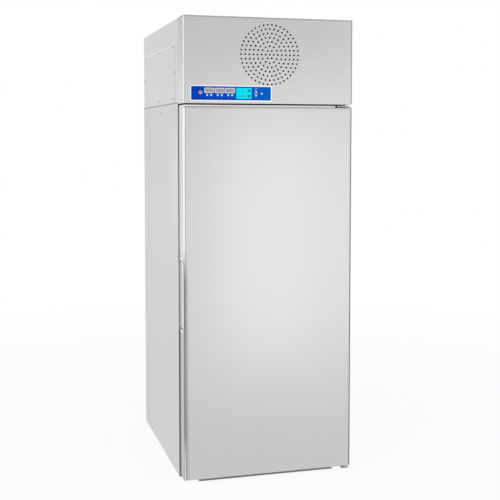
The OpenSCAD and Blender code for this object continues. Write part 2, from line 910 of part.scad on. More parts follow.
// A round wire guard: rings on spokes, with a leg at the end of each spoke.
module wire_guard(r, out) {
    wire_r = guard_wire / 2;
    for (i = [1:guard_rings]) translate([0, 0, -out])
        rotate_extrude() translate([r * i / guard_rings, 0]) circle(wire_r, $fn = 8);
    for (a = [0:360 / guard_spokes:359]) rotate([0, 0, a]) {
        translate([r / guard_rings, 0, guard_wire * 0.7 - out]) rotate([0, 90, 0])
            cylinder(r = wire_r, h = r - r / guard_rings + 6, $fn = 8);
        translate([r + 4.5, 0, -out]) cylinder(r = wire_r + 0.5, h = out, $fn = 8);
    }
}

module fan_guards() {
    color(steel) for (i = [0:chamber_fans - 1]) at_fan(i) wire_guard(fan_r + ring_gap + 1, guard_out);
}

// A fan motor with its shaft forwards, on four arms that reach the plate it is fixed to.
module fan_motor(reach, start, length, r) {
    arm_z = start + arm_back;
    translate([0, 0, start]) cylinder(r = r, h = length);
    translate([0, 0, start + length]) cylinder(r = r * 0.6, h = motor_boss_h);
    translate([0, 0, start - motor_shaft_l]) cylinder(r = shaft_r, h = motor_shaft_l + 1);
    for (a = [45:90:315]) rotate([0, 0, a]) {
        translate([r - arm_lap, -arm_w / 2, arm_z]) cube([reach - r + arm_lap, arm_w, arm_t]);
        translate([reach - arm_t, -arm_w / 2, 0]) cube([arm_t, arm_w, arm_z + arm_t]);
    }
}

module fan_motors() {
    color(black) for (i = [0:chamber_fans - 1]) at_fan(i) translate([0, 0, fan_panel_t])
        fan_motor(fan_r + ring_gap + arm_reach, motor_start - fan_panel_t, motor_l, motor_r);
}

// An axial fan on the Z axis, its front at z = 0: five cambered blades round a hub with a blind bore.
module axial_fan(tip_r, hub_r, depth, chord, blade_angle) {
    camber_r = chord * 1.25;
    difference() {
        union() {
            cylinder(r = hub_r, h = depth);
            intersection() {
                cylinder(r = tip_r, h = depth);
                for (a = [0:72:359]) rotate([0, 0, a]) translate([hub_r - blade_root, 0, depth / 2])
                    rotate([0, 90, 0]) linear_extrude(tip_r) rotate(90 - blade_angle) intersection() {
                        translate([0, chord / 16 - camber_r]) difference() {
                            circle(camber_r);
                            circle(camber_r - blade_t);
                        }
                        square([chord, depth], center = true);
                    }
            }
        }
        translate([0, 0, hub_cap]) cylinder(r = shaft_r + running, h = depth);
    }
}

module chamber_fan(i) {
    color(black) at_fan(i) translate([0, 0, fan_start])
        axial_fan(fan_r, fan_hub_r, fan_depth, chamber_chord, 20);
}

// ---------------------------------------------------------------- evaporator

// A pack of fins as a comb in plan: a solid core with grooves cut between the fins.
module fin_plan(w, d, pitch) {
    n = floor(w / pitch);
    start = (w - n * pitch) / 2;
    polygon(concat(
        [[0, fin_groove]],
        [for (i = [0:n - 1], p = [[0, fin_groove], [0, 0], [fin_t, 0], [fin_t, fin_groove]])
            [start + (i + 0.5) * pitch + p[0], p[1]]],
        [[w, fin_groove], [w, d], [0, d]]
    ));
}

module evaporator_coil() {
    color(aluminium) {
        translate([coil_x0, coil_y0, coil_z0]) linear_extrude(coil_z1 - coil_z0)
            fin_plan(coil_x1 - coil_x0, coil_y1 - coil_y0, fin_pitch);
        for (x = [coil_x0 - end_plate_t, coil_x1 - end_plate_lap])
            block([x, x + end_plate_t + end_plate_lap], [coil_y0 - end_plate_front, chamber_back],
                [tray_z + tray_h, coil_z1 + end_plate_rise]);
    }
}

// A half turn of tube standing on the plane x = 0, between two tubes one above the other.
module return_bend(spacing, r) {
    rotate([90, 0, 90]) rotate([90, 0, 90]) rotate_extrude(angle = 180) translate([spacing / 2, 0]) circle(r);
}

module evaporator_tubes() {
    rows = floor((coil_z1 - coil_z0 - bend_first) / bend_pitch);
    stubs = [header_z0 + header_stub_low, (header_z0 + header_z1) / 2, header_z1 - header_stub_high];
    left = coil_x0 - end_plate_t;
    right = coil_x1 + end_plate_t;
    bend_w = bend_pitch / 2;
    color(copper) {
        for (row = [0:rows - 1], dy = bend_columns) {
            z = coil_z0 + bend_first + row * bend_pitch;
            translate([right, coil_y0 + dy, z]) return_bend(bend_w, bend_r);
            translate([left, coil_y0 + dy, z]) mirror([1, 0, 0]) return_bend(bend_w, bend_r);
        }
        for (line = [[suction_y, suction_r], [liquid_y, liquid_r]])
            translate([header_x, line[0], header_z0]) rotate(135)
                cylinder(r = line[1], h = header_z1 - header_z0);
        for (z = stubs, y = [suction_y - header_stub_r, liquid_y])
            rod_x(y, z, [header_x, left], header_stub_r);
    }
}

module drip_tray() {
    color(steel) difference() {
        union() {
            block([tray_x0, tray_x1], [tray_y0, tray_y1], [tray_z, tray_z + tray_h]);
            for (x = [tray_x0 + tray_foot_x, tray_x1 - tray_foot_x - tray_foot_w])
                block([x, x + tray_foot_w], [tray_y0 + tray_foot_y, tray_y1 - tray_foot_y], [floor_t, tray_z]);
        }
        block([tray_x0 + tray_t, tray_x1 - tray_t], [tray_y0 + tray_t, tray_y1 - tray_t],
            [tray_z + tray_t, tray_z + tray_h + cut]);
        translate([0, drain_y, tray_z - cut]) cylinder(r = drain_bore_r, h = tray_t + 2 * cut);
    }
}

// ---------------------------------------------------------------- machine module

module machine_deck() {
    color(galvanised) difference() {
        block([-casing_x, casing_x], [frame_y + casing_t, back_y - casing_t], [body_h, deck_top]);
        pipe_passages(body_h - cut, deck_top + cut);
    }
}

// One side of the casing: a sheet with folded ends and a window behind the access panel.
module casing_sides() {
    color(steel) both_sides() difference() {
        union() {
            block([casing_x, x_side - casing_t], [frame_y, y_back], [casing_z0, casing_top]);
            block([casing_x - casing_lip, casing_x], [frame_y, frame_y + casing_t],
                [deck_top, hood_axis_z - bracket_drop - 1]);
        }
        block([casing_x - cut, x_side], [access_y[0] + access_border, access_y[1] - access_border],
            [access_z[0] + access_border, access_z[1] - access_border]);
        for (s = SCREWS) rod_x(s[0], s[1], [casing_x - cut, x_side + cut], screw_r);
    }
}

module casing_back() {
    color(galvanised) difference() {
        block([-casing_x, casing_x], [back_y - casing_t, back_y], [body_h, casing_top]);
        for (row = [0:louvre_rows - 1], x = [-louvre_x, 0, louvre_x])
            translate([x, 0, deck_top + louvre_foot + row * louvre_pitch])
                through([back_y - casing_t - cut, back_y + cut]) {
                    square([louvre_w - 2 * louvre_r, 2 * louvre_r], center = true);
                    for (end = [-1, 1]) translate([end * (louvre_w / 2 - louvre_r), 0]) circle(louvre_r);
                }
        rod_y(gland_x, gland_z, [back_y - casing_t - cut, back_y + cut], gland_r);
    }
}

module top_cover() {
    color(steel) block([casing_t - x_side, x_side - casing_t], [frame_y, y_back], [casing_top, cabinet_h]);
}

module access_panels() {
    color(steel) both_sides() difference() {
        block([x_side - casing_t, x_side], access_y, access_z);
        for (s = SCREWS) rod_x(s[0], s[1], [x_side - casing_t - cut, x_side + cut], screw_r);
    }
}

module panel_screws() {
    color(galvanised) both_sides() for (s = SCREWS) {
        rod_x(s[0], s[1], [casing_x - screw_l, x_side], screw_r);
        translate([x_side, s[0], s[1]]) rotate([0, 90, 0])
            cylinder(r1 = screw_head_r, r2 = screw_head_r * 0.6, h = screw_head_t);
    }
}

// Brackets on the casing, each with the pin that the hood turns on.
module hood_hinges() {
    color(galvanised) both_sides() {
        block([casing_x - hinge_bracket_t, casing_x], [hood_axis_y - boss_r, frame_y + bracket_back],
            [hood_axis_z - bracket_drop, hood_axis_z - bracket_head_gap]);
        rod_x(hood_axis_y, hood_axis_z, [casing_x - hinge_bracket_t, casing_x], boss_r);
        rod_x(hood_axis_y, hood_axis_z, [casing_x - 1, x_side - hood_pin_end], hood_pin_r);
    }
}

// A round vessel standing on z = 0, with domed ends.
module vessel(r, h) {
    dome_r = r * 1.35;
    dome_h = dome_r - sqrt(dome_r * dome_r - r * r);
    rotate_extrude() {
        translate([0, dome_h]) square([r, h - 2 * dome_h]);
        intersection() {
            translate([0, dome_r]) circle(dome_r);
            square([r, dome_h]);
        }
        intersection() {
            translate([0, h - dome_r]) circle(dome_r);
            translate([0, h - dome_h]) square([r, dome_h]);
        }
    }
}

module compressor() {
    color(black) {
        translate([compressor_x, compressor_y, compressor_z]) {
            vessel(compressor_r, compressor_h);
            translate([0, 0, compressor_h * 0.45]) cylinder(r = compressor_r + seam_t, h = seam_h);
            translate([0, 0, -1]) cylinder(r = compressor_r * 0.5, h = seam_h + seam_t);
            translate([-base_half, -base_half, -base_t]) cube([2 * base_half, 2 * base_half, base_t]);
        }
        rod_y(compressor_x, discharge_z, [compressor_y - compressor_r - stub_l, compressor_y], discharge_r);
        rod_y(compressor_x, suction_port_z, [compressor_y, compressor_y + compressor_r + stub_l], suction_r);
        block([compressor_x + compressor_r * 0.8, compressor_x + compressor_r + terminal_d],
            [compressor_y - terminal_w / 2, compressor_y + terminal_w / 2],
            [compressor_z + terminal_z, compressor_z + terminal_z + terminal_h]);
    }
}

module compressor_feet() {
    foot_at = base_half - foot_inset;
    color(seal_colour) translate([compressor_x, compressor_y, deck_top])
        for (x = [-foot_at, foot_at], y = [-foot_at, foot_at]) translate([x, y, 0]) {
            cylinder(r = foot_r, h = foot_h * 0.4);
            cylinder(r = foot_r * 0.75, h = foot_h);
        }
}

module condenser_coil() {
    plate_x = condenser_x + end_plate_t;
    color(aluminium) {
        translate([-condenser_x, condenser_y[0], condenser_z[0]])
            linear_extrude(condenser_z[1] - condenser_z[0])
                fin_plan(2 * condenser_x, condenser_d, condenser_pitch);
        both_sides() block([condenser_x - end_plate_lap, plate_x],
            [condenser_y[0] - end_plate_front, condenser_y[1]], [deck_top, condenser_z[1] + end_plate_rise]);
        for (z = [condenser_out_z, condenser_in_z]) {
            rod_y(condenser_header_x, z, [condenser_y[0] + stub_l / 2, condenser_y[1] + stub_l], discharge_r);
            rod_x(condenser_y[0] + stub_l, z, [condenser_header_x, -condenser_x], discharge_r - 1);
        }
    }
}

module condenser_shroud() {
    ring_r = condenser_fan_r + shroud_gap;
    ring_end = shroud_back + shroud_ring_l;
    color(galvanised) difference() {
        union() {
            block([-condenser_x, condenser_x], [condenser_y[1], shroud_back], condenser_z);
            rod_y(0, condenser_fan_z, [shroud_back, ring_end], ring_r + ring_t);
        }
        block([shroud_t - condenser_x, condenser_x - shroud_t], [condenser_y[1] - cut, shroud_back - shroud_t],
            [condenser_z[0] + shroud_t, condenser_z[1] - shroud_t]);
        rod_y(0, condenser_fan_z, [condenser_y[1], ring_end + cut], ring_r);
    }
}

module at_condenser_fan(y) {
    translate([0, y, condenser_fan_z]) rotate([-90, 0, 0]) children();
}

module condenser_motor() {
    reach = condenser_fan_r + shroud_gap + ring_t + arm_t + 1;
    color(black) at_condenser_fan(shroud_back)
        fan_motor(reach, arm_back, condenser_motor_l, condenser_motor_r);
}

module condenser_fan() {
    color(black) at_condenser_fan(condenser_fan_y)
        axial_fan(condenser_fan_r, condenser_hub_r, condenser_fan_depth, condenser_chord, 24);
}

module receiver() {
    color(black) {
        translate([receiver_x, receiver_y, receiver_z]) vessel(receiver_r, receiver_top - receiver_z);
        translate([receiver_x, receiver_y, deck_top]) cylinder(r = receiver_r * 0.7, h = 3 * receiver_foot);
        for (x = [-receiver_port, receiver_port])
            translate([receiver_x + x, receiver_y, receiver_top - 2 * receiver_port_l])
                cylinder(r = liquid_r, h = 3 * receiver_port_l);
    }
}

function unit(v) = v / norm(v);

// A pipe along square corners, each turned in a quarter bend.
module pipe(points, r, bend) {
    last = len(points) - 1;
    for (i = [0:last - 1]) {
        run = unit(points[i + 1] - points[i]);
        a = points[i] + (i > 0 ? bend : 0) * run;
        b = points[i + 1] - (i < last - 1 ? bend : 0) * run;
        yaw = atan2(run[1], run[0]);
        lean = acos(run[2]);
        translate(a) rotate([0, lean, yaw]) cylinder(r = r, h = norm(b - a));
    }
    for (i = [1:1:last - 1]) {
        into = unit(points[i] - points[i - 1]);
        out = unit(points[i + 1] - points[i]);
        centre = points[i] + bend * (out - into);
        side = cross(into, out);
        multmatrix([for (k = [0:2]) [-out[k], into[k], side[k], centre[k]]])
            rotate_extrude(angle = 90) translate([bend, 0]) circle(r);
    }
}

// Inline filter drier: a cylinder with tapered ends on the liquid line.
module drier() {
    drier_l = drier_z[1] - drier_z[0];
    translate([receiver_x + receiver_port, drier_y, drier_z[0]]) {
        cylinder(r1 = liquid_r + 1, r2 = drier_r, h = drier_taper);
        translate([0, 0, drier_taper]) cylinder(r = drier_r, h = drier_l - 2 * drier_taper);
        translate([0, 0, drier_l - drier_taper]) cylinder(r1 = drier_r, r2 = liquid_r + 1, h = drier_taper);
    }
}

module refrigerant_pipes() {
    hot_y = compressor_y - compressor_r - stub_l;
    cond_end = condenser_y[1] + stub_l;
    port_in = receiver_x - receiver_port;
    port_out = receiver_x + receiver_port;
    port_top = receiver_top + receiver_port_l;
    cross_y = shroud_back + pipe_detour;
    color(copper) {
        // Discharge line, with a step up on its way to the condenser.
        pipe([[compressor_x, hot_y, discharge_z], [compressor_x, hot_y - pipe_step, discharge_z],
            [compressor_x, hot_y - pipe_step, condenser_in_z], [compressor_x, cond_end, condenser_in_z]],
            discharge_r, pipe_bend);
        // Condensate line, from the foot of the condenser round the fan to the receiver.
        pipe([[condenser_header_x, cond_end, condenser_out_z], [condenser_header_x, cross_y, condenser_out_z],
            [port_in, cross_y, condenser_out_z], [port_in, cross_y, pipe_run_z],
            [port_in, receiver_y, pipe_run_z], [port_in, receiver_y, port_top]], liquid_r, pipe_bend);
        // Liquid line, over to the drier and on to the header in the chamber.
        pipe([[port_out, receiver_y, port_top], [port_out, receiver_y, pipe_run_z],
            [port_out, drier_y, pipe_run_z], [port_out, drier_y, drier_z[1]]], liquid_r, pipe_bend);
        pipe([[port_out, drier_y, drier_z[0]], [port_out, drier_y, liquid_run_z],
            [header_x, drier_y, liquid_run_z], [header_x, liquid_y, liquid_run_z],
            [header_x, liquid_y, header_z1]], liquid_r, pipe_bend);
        drier();
        // Suction line, from the header back to the compressor.
        pipe([[header_x, suction_y, header_z1], [header_x, suction_y, suction_port_z],
            [compressor_x, suction_y, suction_port_z],
            [compressor_x, compressor_y + compressor_r + stub_l, suction_port_z]], suction_r, pipe_bend);
    }
}

// Electrical box on the deck: a tray with a lid that laps it, and two cable entries.
module electrical_box() {
    x = [condenser_x + box_condenser_gap, x_side - box_side];
    y = [frame_y + box_front, frame_y + box_front + box_d];
    top = deck_top + box_h;
    color(galvanised) {
        block(x, y, [deck_top, top]);
        block([x[0] - box_lid_t, x[1] + box_lid_t], [y[0] - box_lid_t, y[1] + box_lid_t],
            [top - box_lid_h, top + box_lid_t]);
        for (at = [x[0] + box_entry_x, x[1] - box_entry_x])
            rod_y(at, deck_top + box_entry_z, [y[1], y[1] + box_entry_l], box_entry_r);
    }
}

// Cable gland for the mains lead, clamped on the casing's back sheet.
module mains_gland() {
    inner_face = back_y - casing_t;
    nut_t = 6;
    thread_out = 2;
    flange_t = 5;
    dome_z = 14;
    dome_h = 5;
    bore_y = [inner_face - nut_t - thread_out - cut, back_y + dome_z + dome_h + cut];
    color(black) difference() {
        union() {
            translate([gland_x, inner_face - nut_t, gland_z]) rotate([-90, 0, 0])
                cylinder(r = gland_hex_r, h = nut_t, $fn = 6);
            rod_y(gland_x, gland_z, [inner_face - nut_t - thread_out, back_y + flange_t], gland_r);
            translate([gland_x, back_y, gland_z]) rotate([-90, 0, 0]) {
                cylinder(r = gland_hex_r, h = flange_t, $fn = 6);
                cylinder(r = gland_hex_r * 0.86, h = dome_z);
                translate([0, 0, dome_z]) cylinder(r1 = gland_hex_r * 0.86, r2 = gland_r, h = dome_h);
            }
        }
        rod_y(gland_x, gland_z, bore_y, gland_bore_r);
    }
}

// ---------------------------------------------------------------- hood and control panel

// The hood's outer form, shrunk by its sheet, to a back plane.
module hood_form(shrink, back) {
    translate([0, 0, hood_z + shrink]) linear_extrude(cabinet_h - hood_z - 2 * shrink)
        front_rounded(x_side - shrink, [hood_face + shrink, back], hood_r - shrink);
}

// Outline of the control overlay, grown all round.
module control_outline(grow) {
    round_rect([control_mid - control_w / 2 - grow, control_mid + control_w / 2 + grow],
        [control_z - control_h / 2 - grow, control_z + control_h / 2 + grow], overlay_r);
}

// The vent pattern: a hole in the middle and six more holes in each ring outwards.
module vent_pattern() {
    translate([0, vent_z]) {
        circle(d = vent_hole_d);
        for (ring = [1:vent_rings], i = [0:6 * ring - 1])
            rotate(i * 60 / ring) translate([ring * vent_pitch, 0]) circle(d = vent_hole_d);
    }
}

// Folded sheet: face, sides, top and a return along the bottom, open behind.
module front_hood() {
    color(steel) difference() {
        hood_form(0, hood_back);
        hood_form(hood_t, hood_back + cut);
        block([hood_t + hood_r - x_side, x_side - hood_t - hood_r],
            [hood_face + hood_return, hood_back + cut], [hood_z - cut, hood_z + hood_t + cut]);
        through([hood_face - cut, hood_face + hood_t + cut]) {
            vent_pattern();
            control_outline(-cutout_margin);
        }
        both_sides()
            rod_x(hood_axis_y, hood_axis_z, [x_side - hood_t - cut, x_side + cut], hood_pin_r + running);
    }
}

// Outline of a key: a disc, or a triangle that points up or down.
module key_outline(shape, grow) {
    if (shape == 0) circle(r = key_d / 2 + grow);
    else rotate(90 * shape) circle(r = arrow_d / 2 + 2 * grow, $fn = 3);
}

// Puts a flat shape at a key's place on the panel, from y[0] to y[1] behind the hood's face.
module at_key(k, y) {
    through([hood_face + y[0], hood_face + y[1]]) translate([k[1] + control_mid, control_z + k[2]]) children();
}

module led_windows() {
    for (i = [0:2]) {
        x = led_first + i * led_pitch + control_mid;
        round_rect([x - led_w / 2, x + led_w / 2],
            [control_z + led_rise - led_h / 2, control_z + led_rise + led_h / 2], window_r);
    }
    round_rect([lcd_x - lcd_w / 2 + control_mid, lcd_x + lcd_w / 2 + control_mid],
        [control_z - lcd_h / 2, control_z + lcd_h / 2], window_r);
}

// Moulded housing behind the hood's face, with a stepped rim, a pocket for each key and a board cover behind.
module control_housing() {
    housing_back = hood_face + housing_d;
    color(black) difference() {
        union() {
            through([hood_face, hood_face + hood_t]) control_outline(-cutout_margin - face_gap);
            through([hood_face + hood_t, housing_back]) control_outline(-1);
            through([housing_back, housing_back + board_cover_d]) control_outline(-board_cover_inset);
        }
        for (k = KEYS) at_key(k, [-cut, key_pocket]) key_outline(k[3], key_flange + key_hole_gap);
    }
}

module control_overlay() {
    color(overlay_blue) difference() {
        through([overlay_front, hood_face]) control_outline(0);
        through([overlay_front - cut, hood_face + cut]) led_windows();
        for (k = KEYS) at_key(k, [-overlay_t - cut, cut]) key_outline(k[3], key_hole_gap);
    }
}

module display_windows() {
    color(window_cyan) through([overlay_front, hood_face]) led_windows();
}

// A key: a cap through the overlay, and a flange behind it that keeps it in.
module key(i) {
    k = KEYS[i];
    color(key_white) {
        at_key(k, [-overlay_t - key_proud, key_body]) key_outline(k[3], 0);
        at_key(k, [key_hole_gap, key_hole_gap + key_flange_t]) key_outline(k[3], key_flange);
    }
}

side_panels();
back_panel();
wall_foam();
chamber_liner();
door_frame();
floor_pan();
threshold_ramp();
bumper_rails();
drain_pipe();
probe_holder();
hinge_brackets();
door_switch();
evaporator_coil();
evaporator_tubes();
drip_tray();
fan_panel_brackets();
machine_deck();
casing_sides();
casing_back();
top_cover();
access_panels();
panel_screws();
hood_hinges();
compressor();
compressor_feet();
condenser_coil();
condenser_shroud();
condenser_motor();
receiver();
refrigerant_pipes();
electrical_box();
mains_gland();
door_skin();
door_foam();
door_liner();
door_gasket();
door_sweep();
handle_pocket();
hinge_bushes();
fan_panel();
fan_guards();
fan_motors();
chamber_fan(0);  // chamber_fan_low
chamber_fan(1);  // chamber_fan_mid
chamber_fan(2);  // chamber_fan_top
condenser_fan();
front_hood();
control_housing();
control_overlay();
display_windows();
key(0);  // key_power
key(1);  // key_1
key(2);  // key_2
key(3);  // key_3
key(4);  // key_4
key(5);  // key_5
key(6);  // key_6
key(7);  // key_up
key(8);  // key_down
key(9);  // key_enter
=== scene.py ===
import json
import math

import bmesh
import bpy
from bpy.props import FloatProperty, FloatVectorProperty, IntProperty
from mathutils import Matrix, Vector


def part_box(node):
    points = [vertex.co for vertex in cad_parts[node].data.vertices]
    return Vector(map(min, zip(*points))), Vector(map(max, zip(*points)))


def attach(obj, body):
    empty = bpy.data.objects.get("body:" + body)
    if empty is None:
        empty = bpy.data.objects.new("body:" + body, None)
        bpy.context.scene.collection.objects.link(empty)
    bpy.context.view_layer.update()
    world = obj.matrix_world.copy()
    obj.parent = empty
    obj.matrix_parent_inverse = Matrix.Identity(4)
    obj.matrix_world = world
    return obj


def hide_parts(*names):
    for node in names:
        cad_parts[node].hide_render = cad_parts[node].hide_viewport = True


bl_info = {
    "name": "Blast chiller",
    "version": (1, 0, 0),
    "blender": (4, 5, 0),
    "location": "View3D > Sidebar > Chiller",
    "description": "Dresses the packed frame of a roll-in blast chiller: finishes, control panel, fixings and stage",
    "category": "Object",
}

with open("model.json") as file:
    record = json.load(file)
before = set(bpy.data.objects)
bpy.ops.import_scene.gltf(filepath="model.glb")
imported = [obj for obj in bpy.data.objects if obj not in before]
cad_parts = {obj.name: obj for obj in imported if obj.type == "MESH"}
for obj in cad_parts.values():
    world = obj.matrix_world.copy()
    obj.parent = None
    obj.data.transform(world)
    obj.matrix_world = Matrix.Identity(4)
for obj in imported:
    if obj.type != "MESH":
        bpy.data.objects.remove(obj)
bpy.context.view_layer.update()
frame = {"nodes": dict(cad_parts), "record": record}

MM = 0.001
HOOD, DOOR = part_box("front_hood"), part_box("door_skin")
OVERLAY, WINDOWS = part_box("control_overlay"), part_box("display_windows")
FACE = OVERLAY[0].y
LED_RISE = 12.5 * MM
# Where the painted highlight strip beside the door's left bend fades.
PAINTED_EDGE_STRIP = (DOOR[0].y + 15 * MM, DOOR[0].y + 34 * MM)  # where the bright strip beside the door's left bend fades
GRIP_LEVEL = (0.95, 1.15)  # heights between which the door's shading changes, by the lower end of the grip
BRIGHTEST = 1.45  # highest tone that a sheet's colour can take
CORNER_STEPS = 6  # facets along a tube's quarter bend
SMOOTH_ANGLE = math.radians(35)  # edges duller than this are shaded smooth
MATERIALS = {}


def middle(box):
    """The middle of a box given by its two corners."""
    return (box[0] + box[1]) / 2


# ---------------------------------------------------------------- sizes and colours


def millimetres(name, about, size):
    """A length that can be set, given in millimetres."""
    return FloatProperty(name=name, description=about, subtype="DISTANCE", default=size * MM)


def paint(name, about, colour):
    """A colour that can be set."""
    return FloatVectorProperty(name=name, description=about, subtype="COLOR", default=colour)


def lamp_power(name, about, watts):
    """A lamp's power that can be set."""
    return FloatProperty(name=name, description=about, subtype="POWER", default=watts)


class ChillerFinish(bpy.types.PropertyGroup):
    """Colours and surface of the sheets and the control panel."""

    steel: paint("Steel", "Colour of the outer sheets", (0.64, 0.64, 0.635))
    steel_rough: FloatProperty(
        name="Steel roughness", description="How far the outer sheets blur what they mirror", default=0.32, min=0, max=1
    )
    grain: FloatProperty(name="Grain", description="Brush strokes per metre across the grain", default=900, min=1)
    overlay: paint("Overlay", "Colour of the control overlay", (0.0, 0.046, 0.50))
    display: paint("Display", "Colour of the lit display", (0.0, 0.70, 0.80))
    print_white: paint("Print", "Colour of the pale keys", (0.50, 0.90, 1.0))


class ChillerPanel(bpy.types.PropertyGroup):
    """Sizes of what is printed or set into the control panel."""

    border: millimetres("Border", "Width of the light rim round the overlay", 4.5)
    film: millimetres("Print thickness", "How far printed marks stand off the overlay", 0.12)
    led_w: millimetres("LED width", "Width of a small display", 42)
    led_h: millimetres("LED height", "Height of a small display", 20)
    led_pitch: millimetres("LED pitch", "Distance between the small displays", 50)
    lcd_w: millimetres("LCD width", "Width of the large display", 74)


class ChillerFixings(bpy.types.PropertyGroup):
    """Sizes of screws, bolts and other small fixings."""

    screw_d: millimetres("Screw head", "Diameter of a screw head", 9)
    screw_h: millimetres("Head height", "Height of a screw head", 2)
    bolt_d: millimetres("Bolt head", "Width of a hinge bolt's head", 11)
    bend_count: IntProperty(name="Tube bends", description="Tube bends in a column on the condenser", default=6, min=1)
    sleeve_r: millimetres("Sleeve radius", "Outer radius of the sleeve on the suction line", 19)
    bead_h: millimetres("Bead", "Height of the sealant bead in the seam", 5)
    trim_h: millimetres("Door trim", "Height of the strip on the door", 7)
    press_edge: millimetres("Cover edge", "Flat edge round a pressed panel", 60)
    press_depth: millimetres("Press depth", "Depth of a pressed panel", 4)
    louvre_w: millimetres("Louvre width", "Width of a rain hood", 158)
    louvre_out: millimetres("Louvre depth", "How far a rain hood stands out", 8)
    rivet_d: millimetres("Rivet", "Diameter of a rivet head", 8)
    rivet_h: millimetres("Rivet height", "Height of a rivet head", 1.4)
    side_rivet_y: millimetres("Side rivet depth", "Distance of the side rivet from the back edge", 526)
    side_rivet_z: millimetres("Side rivet drop", "Distance of the side rivet below the seam", 38)
    cable_r: millimetres("Cable", "Radius of a cable", 4.5)


class ChillerStage(bpy.types.PropertyGroup):
    """Floor, lights and camera."""

    floor: paint("Floor", "Colour of the floor", (0.86, 0.86, 0.86))
    world: FloatProperty(name="Surround", description="Strength of the light all round", default=0.62, min=0)
    key_power: lamp_power("Key light", "Power of the softbox on the left", 45)
    fill_power: lamp_power("Fill light", "Power of the softbox on the right", 22)
    door_power: lamp_power("Door light", "Power of the low softbox in front", 3.6)
    camera: FloatVectorProperty(
        name="Camera", description="Place of the camera", subtype="TRANSLATION", default=(-1.3202, -4.9607, 1.6385)
    )
    yaw: FloatProperty(name="Yaw", description="Turn of the camera", subtype="ANGLE", default=-0.27083)
    pitch: FloatProperty(name="Pitch", description="Tilt of the camera", subtype="ANGLE", default=-0.06)
    lens: FloatProperty(name="Lens", description="Focal length in millimetres", default=69.938)
    shift_y: FloatProperty(name="Shift", description="Vertical shift of the lens", default=-0.1083)


# ---------------------------------------------------------------- shader maths


class Value:
    """A socket of a material that can be calculated with."""

    def __init__(self, net, socket):
        self.net, self.socket = net, socket

    def _math(self, operation, a, b):
        return self.net.node("ShaderNodeMath", {"operation": operation}, {0: a, 1: b})

    def __add__(self, other):
        return self._math("ADD", self, other)

    __radd__ = __add__

    def __sub__(self, other):
        return self._math("SUBTRACT", self, other)

    def __rsub__(self, other):
        return self._math("SUBTRACT", other, self)

    def __mul__(self, other):
        return self._math("MULTIPLY", self, other)

    __rmul__ = __mul__

    def __gt__(self, other):
        return self._math("GREATER_THAN", self, other)

    def __lt__(self, other):
        return self._math("LESS_THAN", self, other)

    def __abs__(self):
        return self.net.node("ShaderNodeMath", {"operation": "ABSOLUTE"}, {0: self})


